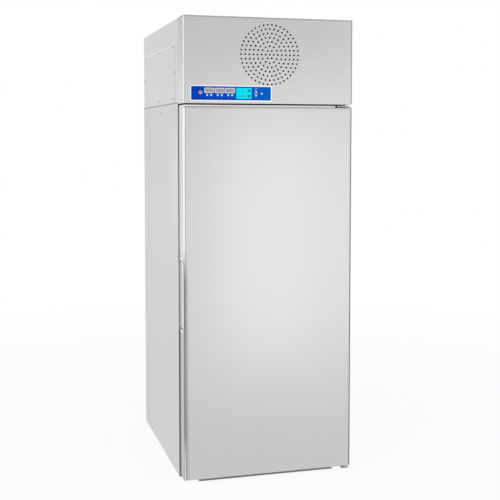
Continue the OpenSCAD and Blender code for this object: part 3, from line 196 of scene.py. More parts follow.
class Net:
    """The nodes of one material or of the world."""

    def __init__(self, owner):
        owner.use_nodes = True
        self.tree = owner.node_tree
        self.tree.nodes.clear()
        self.owner = owner

    def node(self, kind, settings=None, inputs=None, output=0):
        """Makes a node, sets its settings, then its sockets, and gives back one of its outputs."""
        made = self.tree.nodes.new(kind)
        for key, value in (settings or {}).items():
            if key == "stops":
                ramp = made.color_ramp
                while len(ramp.elements) < len(value):
                    ramp.elements.new(0.5)
                for element, (at, colour) in zip(ramp.elements, value):
                    element.position, element.color = at, (*colour, 1) if len(colour) == 3 else colour
            else:
                setattr(made, key, value)
        for key, value in (inputs or {}).items():
            socket = made.inputs[key]
            if isinstance(value, Value):
                self.tree.links.new(value.socket, socket)
            elif hasattr(socket.default_value, "__len__") and len(socket.default_value) == 4 and len(value) == 3:
                socket.default_value = (*value, 1)
            else:
                socket.default_value = value
        return Value(self, made.outputs[output]) if len(made.outputs) else None

    def mix(self, factor, a, b):
        """A colour between a and b."""
        made = self.tree.nodes.new("ShaderNodeMix")
        made.data_type = "RGBA"
        sockets = [s for s in made.inputs if s.enabled]
        for socket, value in zip(sockets, (factor, a, b)):
            if isinstance(value, Value):
                self.tree.links.new(value.socket, socket)
            else:
                socket.default_value = (*value, 1) if isinstance(value, (tuple, list)) else value
        return Value(self, next(s for s in made.outputs if s.enabled))

    def place(self, scale, centre=(0, 0, 0)):
        """Object coordinates, moved to a centre and scaled."""
        where = self.node("ShaderNodeTexCoord", output="Object")
        shift = [-c * s for c, s in zip(centre, scale)]
        return self.node("ShaderNodeMapping", {}, {"Vector": where, "Scale": scale, "Location": shift})

    def noise(self, scale, detail, centre=(0, 0, 0)):
        """Noise on the object's own coordinates, from 0 to 1, with one scale or one for each axis."""
        scale = scale if hasattr(scale, "__len__") else (scale,) * 3
        links = {"Vector": self.place(scale, centre), "Scale": 1.0, "Detail": detail}
        return self.node("ShaderNodeTexNoise", {"noise_dimensions": "3D"}, links)

    def cells(self, scale, output=0):
        """Rounded cells on the object's own coordinates."""
        links = {"Vector": self.place((scale,) * 3), "Scale": 1.0}
        return self.node("ShaderNodeTexVoronoi", {"feature": "F1"}, links, output)

    def axis(self, name, kind="Object"):
        """One object coordinate in metres, or one part of another kind of coordinate, such as Normal."""
        where = self.node("ShaderNodeTexCoord", output=kind)
        return self.node("ShaderNodeSeparateXYZ", {}, {"Vector": where}, output=name)

    def length(self, vector):
        return self.node("ShaderNodeVectorMath", {"operation": "LENGTH"}, {0: vector}, output="Value")

    def either(self, a, b):
        return self.node("ShaderNodeMath", {"operation": "MAXIMUM"}, {0: a, 1: b})

    def ray(self, kind):
        return self.node("ShaderNodeLightPath", output=f"Is {kind} Ray")

    def ramp(self, factor, stops, top=1.0):
        """A tone that follows stops of (place, tone), with tones up to top."""
        colours = [(at, (tone / top,) * 3) for at, tone in stops]
        return top * self.node("ShaderNodeValToRGB", {"stops": colours}, {0: factor})

    def step(self, factor, start, end):
        """0 before start and 1 after end, smooth between them."""
        settings = {"interpolation_type": "SMOOTHSTEP"}
        return self.node("ShaderNodeMapRange", settings, {0: factor, 1: start, 2: end, 3: 0.0, 4: 1.0})

    def fade(self, factor, start, end):
        """1 before start and 0 after end, smooth between them."""
        return 1.0 - self.step(factor, start, end)

    def painted_bend_light(self, stops):
        """Painted highlight and shade on a folded sheet's upright bends, by the way the surface faces: 0 left, 0.5
        front, 1 right.
        """
        return self.ramp(0.5 + 0.5 * self.axis("X", "Normal"), stops, 1.5)

    def surface(self, rounding=0.0, bump=None, depth=0.0, **inputs):
        """The material's one surface shader, with its edges rounded and its relief."""
        normal = None
        if rounding:
            normal = self.node("ShaderNodeBevel", {"samples": 4}, {"Radius": rounding})
        if bump is not None:
            links = {"Height": bump, "Strength": 1.0, "Distance": depth}
            if normal is not None:
                links["Normal"] = normal
            normal = self.node("ShaderNodeBump", {}, links)
        if normal is not None:
            inputs["Normal"] = normal
        shader = self.node("ShaderNodeBsdfPrincipled", {}, {k.replace("_", " "): v for k, v in inputs.items()})
        self.node("ShaderNodeOutputMaterial", {}, {"Surface": shader})


def new_net(name):
    """The nodes of a new material, which is kept under its name."""
    MATERIALS[name] = bpy.data.materials.new(name)
    return Net(MATERIALS[name])


GRAIN_AXES = {"x": (0.004, 1, 1), "y": (1, 0.004, 1), "z": (1, 1, 0.004)}

# Painted reflections on the bends: left bends get a painted highlight with a painted dull shoulder beside them, right
# bends get painted shade.
PAINTED_BEND = [
    (0.0, 1.0), (0.001, 1.3), (0.01, 1.45), (0.19, 1.45), (0.27, 1.15), (0.35, 0.8), (0.41, 0.7), (0.45, 0.82),
    (0.485, 1.0), (0.515, 1.0), (0.56, 0.85), (0.62, 0.5), (0.75, 0.36), (0.97, 0.36), (0.999, 0.8), (1.0, 1.0),
]
# Below the grip the left bend gets painted shade instead.
PAINTED_LOW_BEND = [
    (0.0, 1.0), (0.001, 0.8), (0.015, 0.42), (0.06, 0.38), (0.13, 0.62), (0.22, 0.8), (0.35, 0.55), (0.43, 0.58),
] + PAINTED_BEND[8:]


def hood_painted_light(net):
    """The hood's sheet, with painted reflections: a painted dark line along its folded top edge, painted shade on its
    right bend, and both faces painted duller towards the top.
    """
    height, across = net.axis("Z"), net.axis("X")
    low = net.fade(height, HOOD[0].z, HOOD[1].z - 60 * MM)
    side = across < HOOD[0].x + 1 * MM
    fold = net.step(height, HOOD[1].z - 8 * MM, HOOD[1].z - 5 * MM)
    right = net.step(across, HOOD[1].x - 9 * MM, HOOD[1].x - 5 * MM)
    return (0.975 + 0.045 * low) * (1.0 - side * (0.08 - 0.20 * low)) * (1.0 - 0.3 * fold) * (1.0 - 0.35 * right)


def casing_painted_highlight(net):
    """The module's side sheets: their front cut edges, upward faces and the upper edge of the access panels get a
    painted highlight.
    """
    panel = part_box("access_panels")[1]
    rim = net.step(net.axis("Z"), panel.z - 8 * MM, panel.z - 5 * MM)
    line = (abs(net.axis("X")) > panel.x - 0.8 * MM) * rim
    ahead, above = net.axis("Y", "Normal"), net.axis("Z", "Normal")
    return 1.0 + 0.25 * net.step(0 - ahead, 0.3, 0.9) + 0.3 * net.step(above, 0.3, 0.9) + 0.2 * line


def side_painted_reflection(net):
    """The cabinet's side sheets, with painted reflections: a painted bright patch up at the front, and painted shade
    towards the back and the floor.
    """
    deep, height = net.axis("Y"), net.axis("Z")
    patch = net.step(height, 1.12, 1.3) * net.fade(height, 1.62, 1.76) * net.fade(deep, -0.40, -0.12)
    return 1.0 + 0.09 * patch - 0.04 * net.step(deep, 0.1, 0.45) - 0.03 * net.fade(height, 0.9, 1.15)


def grip_painted_light(net):
    """The grip's rim: a painted highlight across it, with painted shade along its back and beside the door's bend."""
    front = net.axis("Y")
    rear = net.step(front, DOOR[1].y - 34 * MM, DOOR[1].y - 14 * MM)
    return 1.5 - 0.8 * rear - 0.85 * net.fade(front, *PAINTED_EDGE_STRIP)


def liner_painted_shade(net):
    """The door's liner: its folded left edge lies in painted shade, more so below the grip."""
    low = net.fade(net.axis("Z"), *GRIP_LEVEL)
    return 1.0 - (net.axis("X") < DOOR[0].x + 3 * MM) * (0.3 + 0.35 * low)


def hinge_tone(net):
    """The hinge plates: dark where the pins are pressed in."""
    pin = middle(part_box("hinge_bushes"))
    off = net.length(net.place((1, 1, 0), (pin.x, pin.y, 0)))
    return 0.3 + 0.7 * net.step(off, 5 * MM, 7 * MM)


def door_painted_light(net):
    """The door's sheet, with painted light: a painted sheen lighter in its middle, a painted highlight on its top bend,
    its left edge painted bright above the grip and dull below, and painted shade on its right bend and towards its
    foot.
    """
    across, front, height = net.axis("X"), net.axis("Y"), net.axis("Z")
    # A painted sheen, lighter across the door's middle.
    painted_sheen = 0.06 * net.fade(abs(across + 0.02), 0.05, 0.36) * net.fade(abs(height - 1.15), 0.35, 0.95)
    # The left side's strips: painted highlights above the grip, painted shade below it.
    edge = across < DOOR[0].x + 1 * MM
    strip = edge * net.fade(front, *PAINTED_EDGE_STRIP)
    rear = edge * net.step(front, DOOR[1].y - 36 * MM, DOOR[1].y - 18 * MM)
    centre = edge * (1.0 - strip) * (1.0 - rear)
    above = net.step(height, *GRIP_LEVEL)
    plain = above + net.fade(height, 0.1, 0.26)
    bend = plain * net.painted_bend_light(PAINTED_BEND) + (1.0 - plain) * net.painted_bend_light(PAINTED_LOW_BEND)
    # A painted highlight on the door's upward-facing top bend.
    painted_top_highlight = net.step(net.axis("Z", "Normal"), 0.1, 0.5)
    # Painted shade on the front beside the left bend, below the grip.
    shade = (1.0 - above) * net.fade(across, DOOR[0].x + 12 * MM, DOOR[0].x + 26 * MM) * (1.0 - strip)
    high = (0.25 * strip + 0.12 * centre) * above
    low = (0.1 * centre - 0.38 * strip - 0.62 * rear - 0.22 * shade) * (1.0 - above)
    # Painted shade on the right bend, and painted shade towards the foot.
    right = net.step(across, DOOR[1].x - 11 * MM, DOOR[1].x - 6 * MM)
    foot = 0.05 * net.fade(height, 0.05, 0.6)
    return bend * (0.985 + painted_sheen + 0.45 * painted_top_highlight - foot - 0.4 * right + high + low)


def sheet(
    name, colour, rough, grain, density=900.0, depth=0.00002, rounding=0.0006, metal=1.0, bends=PAINTED_BEND, extra=None
):
    """Brushed sheet: long strokes along one axis, soft handling marks, rounded edges, and painted highlights and shade
    on the bends.
    """
    net = new_net(name)
    stretch = [density * s for s in GRAIN_AXES[grain]]
    strokes = net.noise(stretch, 2)
    broad = net.noise([s * 0.11 for s in stretch], 1, (3.1, 1.7, 0.6))
    marks = net.noise((3.2, 3.2, 2.1), 4, (0.7, 4.0, 2.2))
    tone = 0.92 + 0.05 * strokes + 0.05 * broad + 0.05 * marks
    # The bends get a painted highlight and painted shade, by the way the surface faces.
    if bends:
        tone = tone * net.painted_bend_light(bends)
    if extra:
        tone = tone * extra(net)
    pure = [min(1.0, c * BRIGHTEST) for c in colour]
    shade = net.mix(tone * (1 / BRIGHTEST), (0, 0, 0), pure)
    roughness = rough - 0.09 + 0.09 * strokes + 0.05 * broad + 0.07 * marks
    net.surface(rounding, strokes + 0.6 * broad, depth, Base_Color=shade, Metallic=metal, Roughness=roughness)


def galvanised(name, colour):
    """Zinc-coated sheet with its spangle."""
    net = new_net(name)
    spangle = net.node("ShaderNodeSeparateColor", {}, {"Color": net.cells(70, "Color")}, output=0)
    cloud = net.noise(5, 4)
    shade = net.mix(0.86 + 0.09 * spangle + 0.06 * cloud, (0, 0, 0), colour)
    roughness = 0.36 + 0.12 * spangle + 0.05 * cloud
    net.surface(0.0005, spangle, 0.00001, Base_Color=shade, Metallic=0.9, Roughness=roughness)


def moulded(name, colour, rough, speck=0.04, relief=0.00003, size=1400.0):
    """Moulded plastic or rubber with a fine pebbled skin and dust in its tone."""
    net = new_net(name)
    pebble, cloud = net.noise(size, 2), net.noise(9, 4)
    light = [min(1.0, c + speck) for c in colour]
    shade = net.mix(0.35 * pebble + 0.5 * cloud, colour, light)
    net.surface(0.0004, pebble, relief, Base_Color=shade, Roughness=rough - 0.05 + 0.1 * cloud)


def enamel(name, colour):
    """Sprayed enamel with orange peel and a little dust."""
    net = new_net(name)
    peel, cloud = net.noise(420, 1), net.noise(7, 5)
    shade = net.mix(0.8 * cloud, colour, [c + 0.05 for c in colour])
    net.surface(0.0005, peel, 0.00006, Base_Color=shade, Roughness=0.25 + 0.2 * cloud, Coat_Weight=0.25)


def foam(name, colour):
    """Cut insulation foam with open cells."""
    net = new_net(name)
    cells, cloud = net.cells(900), net.noise(14, 4)
    shade = net.mix(0.6 * cells + 0.3 * cloud, [c * 0.82 for c in colour], colour)
    net.surface(0.0, cells, 0.0002, Base_Color=shade, Roughness=0.92)


def tube_metal(name, colour, tarnish, rough=0.28):
    """Drawn copper or brass with tarnish and heat marks."""
    net = new_net(name)
    cloud, draw = net.noise(22, 5), net.noise((700, 700, 90), 2)
    shade = net.mix(net.node("ShaderNodeMapRange", {}, {0: cloud, 1: 0.45, 2: 0.75, 3: 0.0, 4: 0.8}), colour, tarnish)
    net.surface(0.0, draw, 0.00001, Base_Color=shade, Metallic=1.0, Roughness=rough + 0.25 * cloud)


def print_film(name, colour, rough=0.35, metal=0.0):
    """Screen-printed film or bright metal foil, with the fine texture of the overlay under it."""
    net = new_net(name)
    weave = net.noise(2600, 1)
    shade = net.mix(0.7 + 0.3 * weave, [c * 0.93 for c in colour], colour)
    net.surface(0.0, weave, 0.00001, Base_Color=shade, Roughness=rough, Metallic=metal, Specular_IOR_Level=0.2)


def overlay_film(name, colour):
    """The overlay: a deep blue film, a shade lighter towards its right end, with a velvet texture."""
    net = new_net(name)
    weave = net.noise(2600, 1)
    span = {0: net.axis("X"), 1: OVERLAY[0].x, 2: OVERLAY[1].x, 3: 0.0, 4: 1.0}
    along = net.node("ShaderNodeMapRange", {}, span)
    light = (colour[0], colour[1] * 2.4 + 0.02, min(1.0, colour[2] * 1.3))
    shade = net.mix(0.9 * along + 0.1 * weave, colour, light)
    net.surface(0.0003, weave, 0.000012, Base_Color=shade, Roughness=0.5, Specular_IOR_Level=0.04)


def display_glass(name, lit):
    """The display windows: the right one lit, the three small ones grey behind a smoked filter."""
    net = new_net(name)
    split = WINDOWS[1].x - bpy.context.scene.chiller_panel.lcd_w - 2 * MM
    is_lit = net.axis("X") > split
    grid = net.noise(900, 1)
    smoke = net.mix(grid, (0.30, 0.30, 0.36), (0.38, 0.37, 0.43))
    glow = net.mix(0.4 * grid, lit, [min(1.0, c * 1.12) for c in lit])
    shade = net.mix(is_lit, smoke, glow)
    shine = net.mix(is_lit, (0.0, 0.0, 0.0), lit)
    net.surface(
        0.0003, None, 0.0, Base_Color=shade, Roughness=0.2 + 0.05 * grid, Emission_Color=shine,
        Emission_Strength=0.22, Specular_IOR_Level=0.08,
    )


# ---------------------------------------------------------------- modelling


def leave():
    bpy.ops.object.mode_set(mode="OBJECT")


def everything():
    bpy.ops.mesh.select_all(action="SELECT")


def settle():
    """Puts the active piece's place, turn and scale into its mesh."""
    bpy.ops.object.transform_apply(location=True, rotation=True, scale=True)


def deselect():
    if bpy.context.object and bpy.context.object.mode != "OBJECT":
        leave()
    bpy.ops.object.select_all(action="DESELECT")


def activate(piece):
    deselect()
    piece.select_set(True)
    bpy.context.view_layer.objects.active = piece


def edit(piece):
    activate(piece)
    bpy.ops.object.mode_set(mode="EDIT")


def begin(add, place=(0, 0, 0), scale=(1, 1, 1), **size):
    """Adds a primitive, with its place and scale already in its mesh."""
    deselect()
    add(location=place, **size)
    piece = bpy.context.object
    piece.scale = scale
    settle()
    return piece


def block(place, size):
    return begin(bpy.ops.mesh.primitive_cube_add, place, size, size=1)


def rod(sides, radius, height, foot=0.0):
    """An upright prism of many or few sides, standing at the height of its foot."""
    place = (0, 0, foot + height / 2)
    return begin(bpy.ops.mesh.primitive_cylinder_add, place, vertices=sides, radius=radius, depth=height)


def pick(piece, kind, test):
    """In edit mode, selects the verts, edges or faces whose middle and normal pass a test."""
    bpy.ops.mesh.select_mode(type={"verts": "VERT", "edges": "EDGE", "faces": "FACE"}[kind])
    bpy.ops.mesh.select_all(action="DESELECT")
    mesh = bmesh.from_edit_mesh(piece.data)
    found = 0
    for part in getattr(mesh, kind):
        if kind == "verts":
            centre, normal = part.co, part.normal
        elif kind == "edges":
            first, last = (vert.co for vert in part.verts)
            centre, normal = (first + last) / 2, (last - first).normalized()
        else:
            centre, normal = part.calc_center_median(), part.normal
        if test(centre, normal):
            part.select_set(True)
            found += 1
    bmesh.update_edit_mesh(piece.data)
    if not found:
        raise RuntimeError(f"nothing to select on {piece.name}")


def facing_up(place, normal):
    return normal.z > 0.9


def round_edges(piece, test, offset, segments):
    """Rounds the edges whose middle and direction pass a test."""
    edit(piece)
    pick(piece, "edges", test)
    bpy.ops.mesh.bevel(offset=offset, segments=segments)
    leave()
    return piece


def inset(width, rise=0.0, **options):
    """Insets the selected faces, then raises or sinks them."""
    bpy.ops.mesh.inset(thickness=width, **options)
    if rise:
        bpy.ops.transform.translate(value=(0, 0, rise))


def thicken(height):
    """Raises the selected flat faces into a plate."""
    bpy.ops.mesh.extrude_region_move(TRANSFORM_OT_translate={"value": (0, 0, height)})
    leave()


def finished(piece, name, body, material):
    """Applies the piece's place, turns its faces outward and hands it to its body."""
    activate(piece)
    settle()
    edit(piece)
    everything()
    bpy.ops.mesh.remove_doubles(threshold=1e-6)
    bpy.ops.mesh.normals_make_consistent(inside=False)
    leave()
    bpy.ops.object.shade_smooth_by_angle(angle=SMOOTH_ANGLE)
    piece.name = piece.data.name = name
    piece.data.materials.clear()
    piece.data.materials.append(MATERIALS[material])
    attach(piece, body)
    deselect()
    return piece


def joined(pieces):
    activate(pieces[0])
    for other in pieces[1:]:
        other.select_set(True)
    bpy.ops.object.join()
    return bpy.context.object


def copies(piece, places):
    """Joins one copy of a finished form at each place, a matrix; the first one moves the piece itself."""
    activate(piece)
    settle()
    made = []
    for place in places[1:]:
        activate(piece)
        bpy.ops.object.duplicate(linked=False)
        made.append(bpy.context.object)
        made[-1].matrix_world = place
    piece.matrix_world = places[0]
    if made:
        piece = joined([piece, *made])
    activate(piece)
    settle()
    return piece


def standing(place, degrees, axis):
    return Matrix.Translation(place) @ Matrix.Rotation(math.radians(degrees), 4, axis)


def facing(x, z, y=FACE):
    """Stands a form that was modelled on the XY plane, facing +Z, on a front face at y."""
    return standing((x, y, z), 90, "X")


def backward(x, z, y):
    """Stands such a form on a back face at y."""
    return standing((x, y, z), -90, "X")


def sideward(x, y, z):
    """Stands such a form on the side face at x, outwards."""
    return standing((x, y, z), math.copysign(90, x), "Y")


def upward(x, y, z):
    return Matrix.Translation((x, y, z))


def plate(w, h, corner, thick, line=0.0):
    """A flat plate with round corners on the XY plane, or only its outline, as wide as a line."""
    piece = begin(bpy.ops.mesh.primitive_plane_add, scale=(w, h, 1), size=1)
    edit(piece)
    everything()
    bpy.ops.mesh.bevel(offset=corner, segments=5, affect="VERTICES")
    everything()
    if line:
        inset(line, use_even_offset=True)
        bpy.ops.mesh.delete(type="FACE")
        everything()
    thicken(thick)
    return piece


def ring(outer, width, thick, gap=0.0):
    """A flat ring on the XY plane, open at its top over a gap angle."""
    piece = begin(bpy.ops.mesh.primitive_plane_add, size=1)
    edit(piece)
    pick(piece, "verts", lambda m, n: m.x < 0)
    bpy.ops.mesh.delete(type="VERT")
    mesh = bmesh.from_edit_mesh(piece.data)
    for vert, radius in zip(mesh.verts, (outer - width, outer)):
        vert.co = (radius * math.sin(gap / 2), radius * math.cos(gap / 2), 0)
    bmesh.update_edit_mesh(piece.data)
    everything()
    bpy.ops.mesh.spin(steps=32, angle=gap - 2 * math.pi, center=(0, 0, 0), axis=(0, 0, 1))
    everything()
    bpy.ops.mesh.remove_doubles(threshold=1e-7)
    everything()
    bpy.ops.mesh.normals_make_consistent(inside=False)
    thicken(thick)
    return piece


def cross_screw(diameter, height):
    """A pan-head screw head that stands on the XY plane, with a cross recess cut into it."""
    head = rod(24, diameter / 2, height)
    edit(head)
    pick(head, "faces", facing_up)
    inset(diameter * 0.12, height * 0.12)
    round_edges(head, lambda m, n: m.z > height * 0.9 and m.xy.length > diameter * 0.45, height * 0.35, 3)
    cutter = block((0, 0, height), (diameter * 0.5, diameter * 0.11, height))
    bpy.ops.object.duplicate(linked=False)
    turned = bpy.context.object
    turned.rotation_euler.z = math.radians(90)
    bpy.ops.object.transform_apply(rotation=True)
    for tool in (cutter, turned):
        activate(head)
        cut = head.modifiers.new("recess", "BOOLEAN")
        cut.operation, cut.object, cut.solver = "DIFFERENCE", tool, "EXACT"
        bpy.ops.object.modifier_apply(modifier="recess")
        activate(tool)
        bpy.ops.object.delete()
    return head


def hex_bolt(width, height):
    """A hexagon bolt head on a washer, standing on the XY plane."""
    washer_t = 1.2 * MM
    washer = round_edges(rod(32, width * 0.72, washer_t), lambda m, n: m.z > 1.1 * MM, 0.3 * MM, 2)
    head = rod(6, width / math.cos(math.pi / 6) / 2, height, washer_t)
    edit(head)
    pick(head, "faces", facing_up)
    bpy.ops.mesh.bevel(offset=0.5 * MM, segments=2, affect="EDGES")
    leave()
    return joined([washer, head])


def rivet(diameter, height):
    """A blind rivet standing on the XY plane: a low dome with the snapped mandrel sunk in its middle."""
    head = rod(16, diameter / 2, height)
    edit(head)
    pick(head, "faces", facing_up)
    inset(diameter * 0.14)
    inset(diameter * 0.16, height * 0.2)
    inset(diameter * 0.03, -height * 0.6)
    pick(head, "verts", lambda m, n: abs(m.z - height) < 0.02 * MM and m.xy.length > diameter * 0.45)
    bpy.ops.transform.translate(value=(0, 0, -height * 0.5))
    leave()
    return head


def flare_nut(width, length):
    """A flare nut round a pipe, standing on the XY plane: a hexagon with turned ends, and its collar."""
    hexagon = rod(6, width / math.cos(math.pi / 6) / 2, length * 0.6)
    round_edges(hexagon, lambda m, n: abs(n.z) < 0.1, 0.8 * MM, 2)
    collar = rod(24, width * 0.4, length * 0.44, length * 0.56)
    round_edges(collar, lambda m, n: m.z > length * 0.95, 1.5 * MM, 3)
    return joined([hexagon, collar])


def tube_run(points, radius, bend, sides):
    """A tube along square corners, drawn out leg by leg and spun round each corner.

    Known fault: spin turns clockwise about its axis, so each corner bulges away from its planned side.
    """
    points = [Vector(p) for p in points]
    tube = begin(bpy.ops.mesh.primitive_circle_add, vertices=sides, radius=radius, fill_type="NGON")
    lean = (points[1] - points[0]).to_track_quat("Z", "Y").to_matrix().to_4x4()
    tube.matrix_world = Matrix.Translation(points[0]) @ lean
    settle()
    edit(tube)
    bpy.ops.mesh.select_mode(type="FACE")
    everything()
    for i in range(1, len(points)):
        corner = i < len(points) - 1
        run = (points[i] - points[i - 1]).normalized()
        leg = (points[i] - points[i - 1]).length - bend * ((i > 1) + corner)
        if leg > 1e-6:
            bpy.ops.mesh.extrude_region_move(TRANSFORM_OT_translate={"value": run * leg})
        if corner:
            out = (points[i + 1] - points[i]).normalized()
            centre = points[i] + bend * (out - run)
            bpy.ops.mesh.spin(steps=CORNER_STEPS, angle=math.pi / 2, center=centre, axis=run.cross(out))
    leave()
    return tube


def clusters(points, reach):
    """Groups the points that lie within reach of the first one of their group."""
    groups = []
    for point in points:
        near = next((group for group in groups if (group[0] - point).length < reach), None)
        if near is None:
            near = []
            groups.append(near)
        near.append(point.copy())
    return groups


# ---------------------------------------------------------------- operators


SLOT_OF = {row["node"]: row["material_slot"] for row in frame["record"]["subparts"]}
HORIZONTAL_GRAIN = {
    "front_hood", "top_cover", "door_frame", "floor_pan", "machine_deck", "threshold_ramp", "drip_tray",
}
DEPTH_GRAIN = {"bumper_rails"}
OWN_FINISH = {
    "handle_pocket": "pressed_steel", "hinge_brackets": "hinge_steel", "condenser_coil": "black_fins",
    "side_panels": "side_steel", "threshold_ramp": "ramp_steel", "casing_sides": "casing_steel",
    "access_panels": "casing_steel", "door_liner": "liner_steel", "front_hood": "hood_steel",
    "door_skin": "door_steel", "door_sweep": "grey_rubber",
}
SIDES = (-1, 1)


class CHILLER_OT_finishes(bpy.types.Operator):
    """Makes the materials and gives every node of the frame its own"""

    bl_idname = "chiller.finishes"
    bl_label = "Finishes"

    def execute(self, context):
        finish = context.scene.chiller_finish
        steel, rough, strokes = tuple(finish.steel), finish.steel_rough, finish.grain
        inner = tuple(c * 0.93 for c in steel)
        # pale: a lighter copy of the steel for the module's sides, painted light that makes them look more brightly
        # lit.
        pale = tuple(c * 1.12 for c in steel)
        for grain in "xyz":
            sheet("outer_steel_" + grain, steel, rough, grain, strokes)
            sheet("inner_steel_" + grain, inner, rough + 0.04, grain, strokes)
        sheet("hood_steel", steel, rough, "x", strokes, extra=hood_painted_light)
        sheet("casing_steel", pale, rough, "z", strokes, extra=casing_painted_highlight)
        sheet("side_steel", steel, rough, "z", strokes, extra=side_painted_reflection)
        sheet("door_steel", steel, rough, "z", strokes, bends=None, extra=door_painted_light)
        sheet("liner_steel", inner, rough + 0.04, "z", strokes, extra=liner_painted_shade)
        # The grip pocket takes a far lighter copy of the steel, a painted highlight, with painted shade from its tone
        # function.
        sheet("pressed_steel", (0.93, 0.93, 0.925), 0.20, "z", strokes, bends=None, extra=grip_painted_light)
        sheet("hinge_steel", (0.66, 0.66, 0.655), 0.5, "y", 300, 0.00001, 0.0004, 0.2, None, hinge_tone)
        sheet("ramp_steel", (0.69, 0.69, 0.685), 0.6, "x", 300, 0.00001, 0.0004, 0.2, None)
        sheet("dark_steel", (0.30, 0.30, 0.305), 0.45, "z", 300, 0.00001, 0.0004, bends=None)
        # Dark heads for screws and rivets: partly a blackened zinc finish, partly painted shade for the shadow in and
        # round the heads.
        sheet("zinc_screw", (0.30, 0.30, 0.29), 0.42, "z", 500, 0.000005, 0.0002, bends=None)
        sheet("fin_aluminium", (0.78, 0.79, 0.80), 0.38, "z", 1500, 0.000008, 0.0, bends=None)
        # The condenser's fins are made near black: painted shade that keeps the vents in front of them dark.
        sheet("black_fins", (0.05, 0.05, 0.052), 0.5, "z", 1500, 0.000008, 0.0, 0.4, bends=None)
        galvanised("galvanised", (0.60, 0.62, 0.64))
        foam("foam", (0.88, 0.80, 0.56))
        moulded("trim", (0.86, 0.86, 0.86), 0.4, 0.03, 0.00001, 900)
        moulded("sealant", (0.28, 0.28, 0.28), 0.6, 0.04, 0.00003, 900)
        moulded("grey_rubber", (0.42, 0.42, 0.42), 0.6, 0.04, 0.00003, 900)
        moulded("seal", (0.022, 0.022, 0.024), 0.72, 0.03, 0.00005, 900)
        moulded("black_plastic", (0.014, 0.014, 0.016), 0.55)
        moulded("nylon", (0.72, 0.73, 0.73), 0.45, 0.05, 0.00001)
        enamel("black_enamel", (0.012, 0.012, 0.013))
        tube_metal("brass", (0.80, 0.60, 0.28), (0.50, 0.36, 0.18), 0.22)
        tube_metal("copper", (0.78, 0.36, 0.20), (0.42, 0.20, 0.12))
        overlay_film("overlay", tuple(finish.overlay))
        display_glass("display", tuple(finish.display))
        print_film("key_red", (0.80, 0.62, 0.72))
        print_film("key_pale", tuple(finish.print_white), 0.3, 1.0)
        print_film("print_white", (0.97, 0.98, 1.0), 0.3, 1.0)
        print_film("print_red", (0.62, 0.03, 0.12))
        print_film("segments", (0.62, 0.56, 0.57))
        print_film("lcd_marks", (0.0, 0.10, 0.18))
        print_film("lcd_boxes", (0.0, 0.40, 0.48))
        for name, node in frame["nodes"].items():
            slot = SLOT_OF[name]
            if slot in ("outer_steel", "inner_steel"):
                slot += "_x" if name in HORIZONTAL_GRAIN else "_y" if name in DEPTH_GRAIN else "_z"
            node.data.materials.clear()
            node.data.materials.append(MATERIALS[OWN_FINISH.get(name, slot)])
        return {"FINISHED"}


def led_middles(size):
    """The middles of the small displays: three places along the overlay, and one height."""
    first = WINDOWS[0].x + size.led_w / 2
    return [first + i * size.led_pitch for i in range(3)], middle(WINDOWS).z + LED_RISE


class CHILLER_OT_overlay_print(bpy.types.Operator):
    """Prints the light border, the frames round the displays and the lines by the arrow keys"""

    bl_idname = "chiller.overlay_print"
    bl_label = "Overlay print"

    def execute(self, context):
        size = context.scene.chiller_panel
        centre, span, rim = middle(OVERLAY), OVERLAY[1] - OVERLAY[0], size.border
        lap = 0.1 * MM
        frame_t = HOOD[0].y - FACE - lap
        outline = plate(span.x + 2 * rim, span.z + 2 * rim, 4 * MM, frame_t, rim - lap)
        outline = copies(outline, [facing(centre.x, centre.z, HOOD[0].y)])
        finished(outline, "overlay_rim", "hood", "print_white")
        led_x, led_z = led_middles(size)
        frames = plate(size.led_w + 3.6 * MM, size.led_h + 3.6 * MM, 4 * MM, size.film, 2.4 * MM)
        frames = copies(frames, [facing(x, led_z) for x in led_x])
        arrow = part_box("key_up")
        arrow_x, over = middle(arrow).x, arrow[1].z + 3.5 * MM
        lines = copies(
            plate(16 * MM, 0.9 * MM, 0.4 * MM, size.film),
            [facing(arrow_x, z) for z in (over, centre.z + 1.4 * MM, centre.z - 1.4 * MM)],
        )
        power = middle(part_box("key_power"))
        round_key = copies(ring(8 * MM, 1.1 * MM, size.film), [facing(power.x, power.z)])
        finished(joined([frames, lines, round_key]), "overlay_print", "hood", "print_white")
        return {"FINISHED"}


